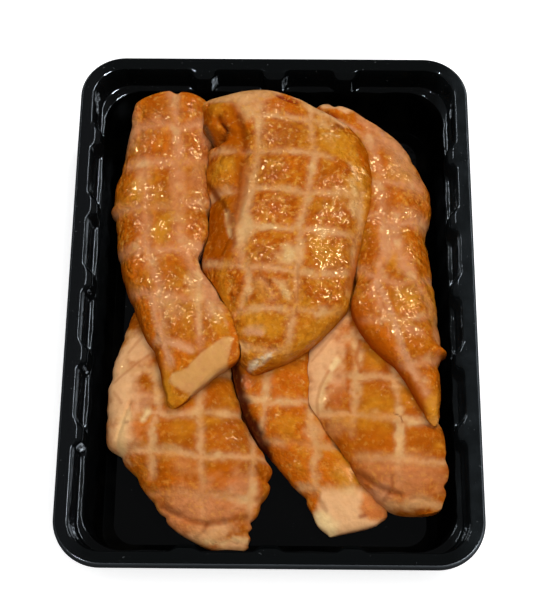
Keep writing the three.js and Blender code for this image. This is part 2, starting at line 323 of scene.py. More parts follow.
def tray_loop(inset, z, lug, flute, extra):
    """One closed loop of the tray's skin."""
    radius = CORNER_R - min(inset, CORNER_R - LEAST_CORNER_R) + extra
    loop = []
    for side, normal, tangent, far, half in (
        ("right", (1, 0), (0, 1), TRAY_W / 2, TRAY_L / 2),
        ("back", (0, 1), (-1, 0), TRAY_L / 2, TRAY_W / 2),
        ("left", (-1, 0), (0, -1), TRAY_W / 2, TRAY_L / 2),
        ("front", (0, -1), (1, 0), TRAY_L / 2, TRAY_W / 2),
    ):
        normal = np.array(normal, float)
        tangent = np.array(tangent, float)
        count = int(2 * (half - CORNER_R) / SIDE_STEP)
        straight = np.linspace(-1, 1, count) * (half - inset - radius)
        world = straight * (1 if side in ("right", "front") else -1)
        _, middle, pitch = LUGS[side]
        wave = 0.5 + 0.5 * np.cos(2 * np.pi * FLUTES_PER_LUG * (world - middle) / pitch)
        bulge = lug * LUG_DEPTH * lug_share(world, side) + flute * FLUTE_DEPTH * wave
        loop.append(np.outer(far - inset - bulge, normal) + np.outer(straight, tangent))
        turn = np.linspace(0, np.pi / 2, CORNER_STEPS + 2)[1:-1]
        centre = normal * (far - inset - radius) + tangent * (half - inset - radius)
        loop.append(centre + radius * (np.outer(np.cos(turn), normal) + np.outer(np.sin(turn), tangent)))
    flat = np.vstack(loop)
    return np.column_stack([flat, np.full(len(flat), z)])


def make_tray(material, deep_material):
    rings = rounded_rings()
    loops = np.array([tray_loop(*ring) for ring in rings])
    round_count = loops.shape[1]
    places, faces = skin_loops(loops)
    tray = mesh_object("tray_body", places, [face[::-1] for face in faces], material)
    outer = np.repeat([1.0 if ring[0] < OUTER_INSET else 0.0 for ring in rings], round_count)
    write_values(tray.data, "outer", np.append(outer, (0, 0)))
    tray.data.materials.append(deep_material)
    deep_rows = next(k for k, ring in enumerate(rings) if ring[1] > DEEP_BELOW)
    deep = np.zeros(len(tray.data.polygons), np.int32)
    deep[:deep_rows * round_count] = 1
    tray.data.polygons.foreach_set("material_index", deep)
    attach(tray, "root")
    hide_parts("tray")
    return tray


# The meat. Each piece has these entries, with places in plan:
# rows: slices across it, each its place along the tray, its left and right edges, the heights of
# those edges, and the heights of the crest and of the underside
# base: colour; skin: how mottled, how wet, and how strongly painted shade browns its flanks, on the near side
# of band_from
# grain: angle and strength of the fibres; round: how far the ends round off; ragged: how uneven it is
# net: the first cross line of the net's marks, their pitch, and how far they draw the edges in
# lines: courses of the marks; line: their colour; pale: their far and near width
# faint: places and sizes where the marks fade; wet: places and sizes that shine
# patches: colour, place, width, length, strength and, where one is turned, the angle
# strokes: colour, course, width, strength; areas: colour, outline, blur, strength
# grooves and ridges: course, height, width; bumps: place, height, width
# edges: side, place, bulge, width; ends: which end, place, depth and width of a hollow
# flap and sunk: outlines of a thin flap on top and of a sunken strip
REST_Z = 1.75
PLAIN = {
    "band_from": 200, "line": "tan", "faint": [], "areas": [], "grooves": [], "ridges": [], "bumps": [],
    "ends": [], "flap": [], "sunk": [],
}
BREASTS = {}

BREASTS["breast_near_left"] = {
    "rows": [
        (20, -57, -36, 8, 8, 11, REST_Z),
        (8, -66, -29, 10, 9, 15, REST_Z),
        (-10, -71.5, -22.5, 11, 10, 19, REST_Z),
        (-28, -76, -18.5, 11, 11, 21, REST_Z),
        (-45, -78, -14, 10, 10, 22, REST_Z),
        (-61, -77.5, -6.5, 9, 9, 22, REST_Z),
        (-71, -68.5, -0.5, 8, 8, 20.5, REST_Z),
        (-81, -61, 0, 7, 7, 18, REST_Z),
        (-92, -52.5, -4, 6, 6, 14.5, REST_Z),
        (-102, -43.5, -8, 5.5, 5.5, 11, REST_Z),
        (-112, -28, -9, 5, 5, 8, REST_Z),
    ],
    "base": "umber", "skin": (0.45, 0.35, 0.15), "grain": (0, 0.16), "round": 3, "ragged": 1.0,
    "net": (-9, 20, 1.0), "pale": (2.0, 2.0),
    "wet": [(-18, -62, 7), (-45, -60, 5), (-8, -58, 5), (-36, -84, 5)],
    "faint": [(-34, -98, 20), (-52, -88, 12), (-12, -104, 12)],
    "lines": [
        [(-70, -26), (-52, -28), (-33, -29), (-18, -28)],
        [(-58, -48), (-48, -50), (-41, -50), (-24, -49), (-14, -48)],
        [(-74, -64), (-66, -66), (-53, -68), (-31, -70), (-1, -70)],
        [(-57, -85), (-41, -86), (-31, -87), (-8, -90)], [(-54, -30), (-52, -47), (-55, -58), (-55, -78)],
        [(-33, -28), (-34, -40), (-33, -50), (-32, -71), (-31, -97)],
        [(-13, -38), (-10, -50), (-9, -59), (-8, -70), (-9, -83), (-10, -100)],
    ],
    "patches": [
        ("peach", -71, -36, 10, 30, 1.0, 8), ("peach", -69, -60, 8, 10, 0.9, 10),
        ("peach", -64, -18, 8, 11, 0.9, 10), ("pink", -60, -44, 6, 6, 0.6), ("orange", -61, -57, 5, 6, 0.7),
        ("gold", -45, -44, 5, 5, 0.7), ("gold", -42, -58, 7, 5, 0.4), ("amber", -24, -36, 7, 8, 0.6, 10),
        ("orange", -40, -79, 10, 8, 0.6), ("orange", -20, -80, 9, 8, 0.6),
        ("salmon", -34, -94, 22, 12, 0.75, 12), ("peach", -30, -105, 16, 5, 0.65, 10),
        ("peach", -17, -109, 9, 4, 0.8, 8), ("pink", -12, -86, 7, 12, 0.45), ("tan", -40, -76, 6, 5, 0.3),
        ("orange", -35, -101, 8, 4, 0.35), ("amber", -4, -76, 3, 5, 0.5),
    ],
    "strokes": [
        ("butter", [(-57.2, -49.5), (-59.4, -53)], 1.9, 0.8),
        ("cream", [(-67, -50), (-70, -58), (-69, -66)], 2.6, 0.6),
        ("rust", [(-60, -60), (-65, -66), (-69, -72)], 0.8, 0.35),
        ("rust", [(-58, -20), (-66, -26), (-74, -33)], 0.8, 0.35),
        ("rust", [(-62, -10), (-68, -18)], 0.8, 0.3), ("rust", [(-74, -38), (-70, -44)], 0.9, 0.3),
        ("red", [(-67.5, -54), (-66.7, -54)], 0.8, 0.45),
        # The dark strokes below paint shade into the grooves of the torn end and of a fold
        ("dark", [(-50, -92), (-45, -94.7), (-36.6, -98.6), (-28.8, -100.1), (-21.9, -99.5),
         (-11, -96)], 1.3, 0.5),
        ("dark", [(-28.8, -100.1), (-30.6, -103.6), (-34, -106)], 1.0, 0.4),
        ("cream", [(-29, -108), (-22, -108.6), (-16, -106.4), (-11, -107)], 1.4, 0.6),
        ("dark", [(-26, -109.6), (-19, -107), (-15, -108.6)], 0.7, 0.4),
        ("dark", [(-7, -74), (-3, -79)], 0.8, 0.6),
    ],
    "grooves": [
        ([(-50, -92), (-45, -94.7), (-36.6, -98.6), (-28.8, -100.1), (-21.9, -99.5)], 1.5, 1.4),
        ([(-28.8, -100.1), (-30.6, -103.6)], 1.0, 0.9), ([(-26, -109), (-19, -106), (-15, -108)], 0.8, 0.8),
        ([(-7, -74), (-3, -79)], 0.9, 0.7), ([(-66, -44), (-69, -52), (-72, -64)], 0.6, 0.9),
    ],
    "edges": [
        ("left", -67, -2.2, 2.0), ("left", -77, -1.2, 3.0), ("left", -96, -1.5, 1.5),
        ("right", -74, 1.2, 4.0), ("right", -79, -1.4, 1.5), ("right", -98, -1.6, 1.6),
        ("right", -103, -1.8, 1.8),
    ],
}

BREASTS["breast_near_centre"] = {
    "rows": [
        (24, -9, 9, 8, 8, 11, REST_Z),
        (8, -19, 17, 9, 8, 16, REST_Z),
        (-15, -21, 21, 10, 8, 19, REST_Z),
        (-40, -17, 23, 9, 8, 20, REST_Z),
        (-56, -10, 29, 8, 7, 19, REST_Z),
        (-68, 0, 38, 7, 6, 17, REST_Z),
        (-80, 10.5, 47, 6, 6, 14.5, REST_Z),
        (-91, 18, 54, 5, 5, 11, REST_Z),
        (-98, 21.5, 50, 5, 5, 8.5, REST_Z),
        (-104, 25, 31, 4, 4, 6, REST_Z),
    ],
    "base": "orange", "skin": (0.6, 0.6, 0.5), "grain": (-50, 0.14), "round": 5, "ragged": 0.6,
    "net": (-4, 20, 0.8), "pale": (2.0, 2.0),
    "wet": [(0, -38, 6), (4, -53, 6), (12, -70, 6), (32, -78, 5), (-12, -34, 5)],
    "faint": [(12, -62, 7)],
    "lines": [
        [(-15, -39), (-8, -41), (1, -44), (10, -44), (22, -42)],
        [(-10, -60), (-4, -61), (4, -62), (20, -64), (34, -62)],
        [(14, -82), (22, -83), (30, -84), (42, -83)], [(-2, -28), (-2, -33), (-2, -45), (-5, -58)],
        [(18, -46), (19, -59), (21, -66), (20, -74), (22, -84)],
    ],
    "patches": [
        ("amber", 2, -69, 7, 10, 0.7, 35), ("amber", -8, -52, 4, 12, 0.6, 15), ("tan", 20, -57, 6, 5, 0.7),
        ("gold", 6, -54, 7, 6, 0.5), ("brown", 18, -84, 5, 5, 0.7), ("gold", 34, -76, 7, 6, 0.8),
    ],
    "strokes": [
        ("red", [(41.5, -95.6), (43.5, -95)], 1.1, 0.55),
        ("rust", [(43, -95), (46, -93.6), (50, -93.6)], 2.0, 0.35),
        ("dark", [(20, -84), (24, -90), (26, -93)], 1.2, 0.35),
        # Painted shadow on the left flank, where the near left piece overlaps this one
        ("maroon", [(-17.5, -22), (-15.6, -34), (-11.6, -47), (-6.0, -58), (-1.0, -67)], 3.0, 0.95),
    ],
    "areas": [
        ("orange", [(-3, -60), (3, -62), (12, -74), (20, -84), (22, -92), (14, -92), (4, -74)], 1.6, 0.9),
        ("peach", [(24, -84), (42, -83.5), (55, -90), (55, -100), (24, -110), (12, -98),
         (21, -93)], 1.6, 1.0),
        ("butter", [(12, -97), (24, -93), (31, -98), (31, -108), (20, -110)], 2.0, 0.9),
        ("orange", [(43, -85), (56, -87), (56, -97), (46, -97), (41, -92)], 1.6, 0.75),
    ],
    "edges": [("left", -86, -1.5, 2.0), ("right", -95, 1.0, 2.0)],
}

BREASTS["breast_near_right"] = {
    "rows": [
        (30, 36, 56, 8, 8, 11, REST_Z),
        (14, 27, 67, 12, 9, 16, REST_Z),
        (-6, 20, 74.5, 14, 11, 20, REST_Z),
        (-26, 16, 78, 15, 14, 22, REST_Z),
        (-42, 16.5, 79, 15, 15, 23.5, REST_Z),
        (-54, 23, 80, 14, 16, 23.5, REST_Z),
        (-66, 32.5, 81.2, 13, 20, 23, REST_Z),
        (-79, 40, 81.6, 12, 21, 22, REST_Z),
        (-88, 47, 80.8, 10, 17, 18, REST_Z),
        (-95, 57, 80, 8, 12, 13, REST_Z),
    ],
    "base": "umber", "skin": (0.4, 0.35, 0.15), "grain": (0, 0.16), "round": 3, "ragged": 0.9,
    "net": (-12, 20, 1.0), "pale": (2.0, 2.0),
    "wet": [(70, -45, 6), (30, -42, 5), (50, -40, 4)],
    "faint": [(44, -82, 16), (66, -86, 16), (42, -60, 8)],
    "lines": [
        [(36, -10), (52, -12), (70, -14)], [(38, -31), (43, -31), (50, -31), (58, -33), (76, -35)],
        [(20, -48), (24, -49), (34, -50), (47, -52), (71, -53), (80, -52)],
        [(40, -70), (51, -71), (60, -72), (80, -74)],
        [(38, -8), (41, -18), (40, -29), (38, -49), (38, -60)],
        [(58, -16), (58, -33), (59, -40), (60, -62), (59, -84)],
    ],
    "patches": [
        ("peach", 22, -18, 13, 26, 1.0, -8), ("peach", 19, -42, 6, 10, 0.9), ("pink", 32, -36, 5, 6, 0.5),
        ("orange", 32, -43, 5, 6, 0.7), ("gold", 49, -22, 6, 7, 0.5), ("gold", 48, -41, 6, 5, 0.3),
        ("orange", 70, -42, 8, 8, 0.4), ("orange", 50, -62, 8, 8, 0.4), ("salmon", 62, -80, 22, 12, 0.6),
        ("tan", 68, -91, 12, 3.5, 0.6), ("pink", 50, -86, 6, 4, 0.6), ("tan", 30, -56, 8, 5, 0.3),
    ],
    "strokes": [
        ("butter", [(30.8, -23), (28.6, -26.6)], 1.8, 0.8),
        ("cream", [(27, -31), (23.6, -38), (22.6, -46)], 1.8, 0.6),
        ("rust", [(27, -28), (23, -36), (21.5, -43), (22, -49)], 0.8, 0.4),
        ("rust", [(30, -8), (24, -16), (19, -22)], 0.8, 0.3),
        ("amber", [(42, -12), (40, -22), (42, -29)], 1.0, 0.6),
        ("red", [(25.6, -37), (26.4, -37)], 0.8, 0.45), ("rust", [(32, -44), (35, -46)], 1.6, 0.5),
        # The dark strokes below paint shade into the grooves of the torn end
        ("dark", [(39.6, -76.9), (46.7, -82.1), (51.7, -84.9), (59.5, -87.7)], 1.3, 0.55),
        ("dark", [(55.8, -80.7), (56, -85), (52.7, -89.3)], 1.0, 0.4),
        ("tan", [(54, -91.6), (62, -92.4), (70, -90.6), (78, -92)], 1.7, 0.7),
        ("dark", [(64, -89.4), (69, -88.8), (73, -90)], 0.8, 0.35),
        ("dark", [(57, -50), (60, -51), (61, -54)], 0.3, 0.8),
    ],
    "grooves": [
        ([(39.6, -76.9), (46.7, -82.1), (51.7, -84.9), (59.5, -87.7)], 1.4, 1.4),
        ([(55.8, -80.7), (56, -85), (52.7, -89.3)], 1.0, 0.9),
        ([(64, -89.4), (69, -88.8), (73, -90)], 0.6, 1.0),
    ],
    "edges": [("right", -84, -1.6, 1.6), ("left", -86, -1.2, 2.0)],
}

BREASTS["breast_far_left"] = {
    "rows": [
        (117, -61, -34, 35, 32, 38, 28),
        (110, -69.5, -31, 31, 26, 36.5, 22),
        (100, -72, -30, 25, 20, 34.5, 13),
        (84, -74.5, -31, 19, 16, 31.5, 5),
        (62, -79, -30.5, 16, 18, 30, REST_Z),
        (44, -77, -31.5, 15, 22, 30, REST_Z),
        (27, -74, -35, 16, 24, 31, 3),
        (8, -68, -25, 17, 26, 32, 8),
        (-10, -61, -13.5, 20, 27, 32.5, 13),
        (-24, -54, -15, 23, 27, 32, 16),
        (-34, -51, -27, 24, 27, 30.5, 18),
        (-49, -49, -41.5, 24, 25, 27, 20),
    ],
    "base": "brown", "line": "salmon", "skin": (0.75, 1.0, 0.9), "band_from": 40, "grain": (90, 0.14),
    "round": 7, "ragged": 0.5, "net": (101, 24, 0.7), "pale": (3.0, 2.2),
    "wet": [
        (-66, 60, 8), (-37, 43, 8), (-42, 88, 8), (-64, 87, 7), (-52, 11, 10), (-43, -3, 9), (-39, 108, 6),
        (-66, 46, 6), (-37, 58, 7), (-54, 41, 7), (-57, 61, 7), (-28, -5, 5), (-36, 35, 7), (-56, 102, 5),
        (-47, -6, 6), (-37, 14, 6), (-60, 27, 6), (-52, 78, 5),
    ],
    "lines": [
        [(-68, 98), (-55, 98), (-46, 97), (-33, 101)], [(-70, 78), (-57, 78), (-46, 78), (-32, 83)],
        [(-78, 55), (-62, 54), (-48, 54), (-31, 60)], [(-75, 31), (-55, 29), (-36, 33)],
        [(-68, 10), (-57, 6), (-43, 4), (-33, 4), (-25, 7)], [(-55, -17), (-46, -19), (-37, -22)],
        [(-51, 115), (-49, 107), (-48, 97), (-47, 88), (-47, 76)],
        [(-64, 71), (-62, 61), (-61, 48), (-61, 35), (-58, 24), (-54, 6), (-50, -17), (-47, -30)],
        [(-46, 74), (-44, 61), (-46, 48), (-45, 36), (-40, 26), (-36, 19), (-34, -3), (-33, -22)],
    ],
    "patches": [
        ("umber", -59, 107, 8, 5, 0.7, 20), ("orange", -40, 112, 6, 4, 0.9), ("orange", -58, 88, 8, 5, 0.8),
        ("orange", -41, 89, 5, 5, 0.8), ("brown", -52, 65, 5, 9, 0.7, -20), ("gold", -66, 64, 4, 7, 0.7),
        ("salmon", -48, 66, 4, 14, 0.7), ("salmon", -66, 78, 6, 6, 0.6), ("salmon", -37, 70, 5, 8, 0.6),
        ("pink", -72, 98, 6, 12, 0.7), ("umber", -42, 88, 4, 5, 0.4), ("umber", -37, 44, 4, 6, 0.4),
        ("umber", -67, 44, 4, 7, 0.4), ("pink", -35, 96, 4, 8, 0.6), ("cream", -38, 34, 4, 5, 0.5),
        ("cream", -46, -4, 5, 5, 0.5, 30), ("cream", -51, 3, 7, 6, 0.45),
        ("pink", -44, -20, 8, 3, 0.7, -20), ("cream", -38, 14, 4, 8, 0.5), ("orange", -68, 43, 5, 8, 0.7),
        ("gold", -54, 41, 5, 9, 0.8), ("orange", -37, 43, 5, 8, 0.7), ("orange", -66, 20, 6, 8, 0.8),
        ("brown", -49, 17, 6, 9, 0.6), ("orange", -34, 16, 4, 7, 0.6), ("amber", -62, -4, 4, 16, 0.8, 20),
        ("orange", -45, -8, 5, 9, 0.6, 10), ("gold", -49, -34, 3, 9, 0.8, 10),
        ("orange", -24, -10, 4, 6, 0.6), ("amber", -16, -18, 3, 5, 0.8), ("amber", -74, 16, 3, 14, 0.6),
    ],
    "strokes": [
        ("pink", [(-57, 5.7), (-54.7, -6), (-51.4, -16.3), (-46.7, -28)], 1.7, 0.8),
        ("pink", [(-53.4, -15.8), (-44.7, -19.4), (-38, -23)], 1.7, 0.8),
        ("cream", [(-35.5, 28), (-34.5, 4), (-33.5, -14)], 1.6, 0.4),
        ("cream", [(-29, 2), (-25, -8)], 1.4, 0.3), ("cream", [(-25, -1), (-21, -9)], 1.0, 0.25),
        # Painted shade: the dark band along the left flank, which faces away from the light
        ("rust", [(-75, 24), (-70.5, 2), (-62, -14), (-56, -25), (-51, -36)], 3.4, 0.8),
        ("gold", [(-48, -38), (-46, -49)], 3.0, 0.8),
    ],
    "areas": [
        ("orange", [(-74, 10), (-60, 6), (-57, -3), (-54, -15), (-49, -31), (-55, -28),
         (-64, -9)], 1.6, 0.9),
        ("orange", [(-51, -19), (-39, -24), (-37, -28), (-45, -32)], 1.4, 0.8),
        ("pink", [(-36, 36), (-31, 34), (-24, 4), (-22, -4), (-30, -6), (-34, 8)], 2.0, 0.75),
        ("gold", [(-27, -2), (-20, -4), (-17, -12), (-24, -15), (-29, -11)], 1.6, 0.6),
        ("orange", [(-22, -7), (-13, -9), (-13, -22), (-18, -26), (-19, -15)], 1.0, 0.9),
    ],
    "edges": [("left", 57, 1.6, 2.0), ("left", 47, -0.8, 4.0), ("right", 54, -0.8, 4.0)],
    "ends": [("far", -49, 2.2, 2.0)],
    "flap": [
        (-17.6, -15.5), (-22.2, -15.6), (-28.7, -20.1), (-34.2, -25.6), (-38.5, -31.2), (-46, -33.5),
        (-47.5, -37.5), (-41.5, -41), (-36, -44), (-28, -40), (-20.5, -29.5), (-19.8, -21.7),
    ],
}

BREASTS["breast_far_right"] = {
    "rows": [
        (115.5, 19, 35, 25, 25, 28, 18),
        (106, 18, 49, 20, 23, 26.5, 10),
        (96, 23, 63, 16, 18, 26.5, 4),
        (80, 29, 72.5, 11, 16, 27.5, REST_Z),
        (62, 34, 78.5, 9, 15, 28.5, REST_Z),
        (42, 38, 75.5, 12, 15, 30, 2.5),
        (22, 40, 77.5, 20, 16, 31, 5),
        (2, 37.5, 79, 24, 18, 32.5, 9),
        (-16, 46.5, 80, 25, 21, 33, 14),
        (-32, 61, 79, 25, 22, 31.5, 17),
        (-46, 68.5, 79, 24, 22, 29, 19),
        (-56, 73, 78.5, 23, 22, 25, 20),
    ],
    "base": "brown", "line": "salmon", "skin": (0.75, 1.0, 0.9), "band_from": 12, "grain": (80, 0.14),
    "round": 7, "ragged": 0.5, "net": (108, 22.5, 0.7), "pale": (2.6, 2.2),
    "wet": [
        (46, 9, 8), (61, 3, 11), (68, -13, 8), (52, 48, 6), (61, 43, 7), (51, 80, 6), (66, 52, 5),
        (68, 28, 7), (57, 100, 5), (59, 78, 7), (74, 34, 6), (52, -4, 5), (60, -10, 7), (53, 64, 6),
    ],
    "lines": [
        [(44, 98), (52, 96), (62, 90)], [(49, 70), (60, 69), (71, 68)],
        [(48, 52), (51, 51), (60, 45), (76, 50)], [(40, 22), (53, 15), (61, 12), (76, 18)],
        [(40, -6), (53, -7), (61, -7), (69, -5), (79, 0)], [(60, -29), (64, -29), (71, -28), (80, -25)],
        [(46, 100), (49, 90), (52, 76), (53, 61), (54, 53), (54, 41), (54, 28), (50, 16), (48, 8),
         (52, -2), (57, -9), (59, -17), (62, -26), (67, -33), (70, -39), (74, -48)],
        [(60, 52), (60, 37), (63, 24), (68, 16), (73, 8), (77, -2), (78, -14)],
    ],
    "patches": [
        ("pink", 66, 74, 8, 16, 0.6, 25), ("pink", 70, 48, 7, 6, 0.5), ("orange", 45, 102, 7, 4, 0.8, -20),
        ("orange", 52, 81, 6, 8, 0.85, -10), ("pink", 49, 93, 5, 5, 0.6), ("gold", 64, 72, 5, 5, 0.5),
        ("salmon", 60, 90, 8, 6, 0.6, -30), ("brown", 69, 63, 5, 6, 0.4), ("orange", 58, 61, 6, 6, 0.7),
        ("orange", 50, 50, 4, 7, 0.8), ("salmon", 66, 52, 8, 6, 0.6), ("orange", 70, 36, 7, 8, 0.5),
        ("gold", 58, 26, 4, 6, 0.8), ("amber", 49, 30, 4, 9, 0.6), ("pink", 64, 22, 5, 6, 0.6),
        ("gold", 64, 6, 8, 8, 0.7), ("orange", 47, 4, 5, 7, 0.8), ("amber", 52, -17, 7, 6, 0.8, -40),
        ("pink", 66, -12, 7, 3, 0.5, -20), ("orange", 68, -19, 6, 5, 0.7), ("orange", 74, -32, 4, 5, 0.6),
        ("amber", 66, -38, 4, 9, 0.7, 30), ("gold", 76, -46, 4, 8, 0.6), ("peach", 76, -55, 4, 3, 0.7),
    ],
    "strokes": [
        ("red", [(22, 112), (28, 109), (32, 107)], 1.0, 0.6),
        # Painted shade: the dark band along the left flank, which faces away from the light
        ("rust", [(38, 3), (41, -7), (47.3, -16.7), (56, -28), (65.7, -42), (71, -50)], 3.6, 0.9),
        ("pink", [(50, 14), (55.7, -1), (61.8, -22), (67.2, -35.3)], 1.6, 0.8),
        ("gold", [(74, -46), (75, -56)], 3.0, 0.8),
    ],
    "areas": [
        ("pink", [(53, 48), (59, 46), (59, 30), (55, 24), (52, 34)], 1.6, 0.7),
        ("cream", [(53, 42), (56, 42), (56, 30), (54, 30)], 1.2, 0.5),
        ("orange", [(74, -19), (84, -18), (84, -30), (77, -26)], 1.2, 0.8),
        ("peach", [(17, 122), (36, 122), (42, 112), (36, 109), (31, 112), (24, 112)], 0.8, 0.85),
        ("pink", [(40, 112), (52, 106), (64, 96), (68, 84), (62, 84), (54, 97), (42, 104)], 1.4, 0.6),
        ("pink", [(26, 108), (33, 106), (44, 98), (38, 98), (28, 102)], 1.2, 0.7),
        ("orange", [(43, -2), (53, -4), (60, -24), (64, -36), (56, -28)], 1.6, 0.8),
    ],
    "grooves": [([(21, 112), (28, 108.5), (33, 107.5)], 1.2, 1.2)],
    "edges": [("right", -20, 3.0, 2.1), ("right", -28, -0.6, 2.0), ("right", 45, -0.8, 5.0)],
    "ends": [("far", 30, 1.6, 2.0)],
}

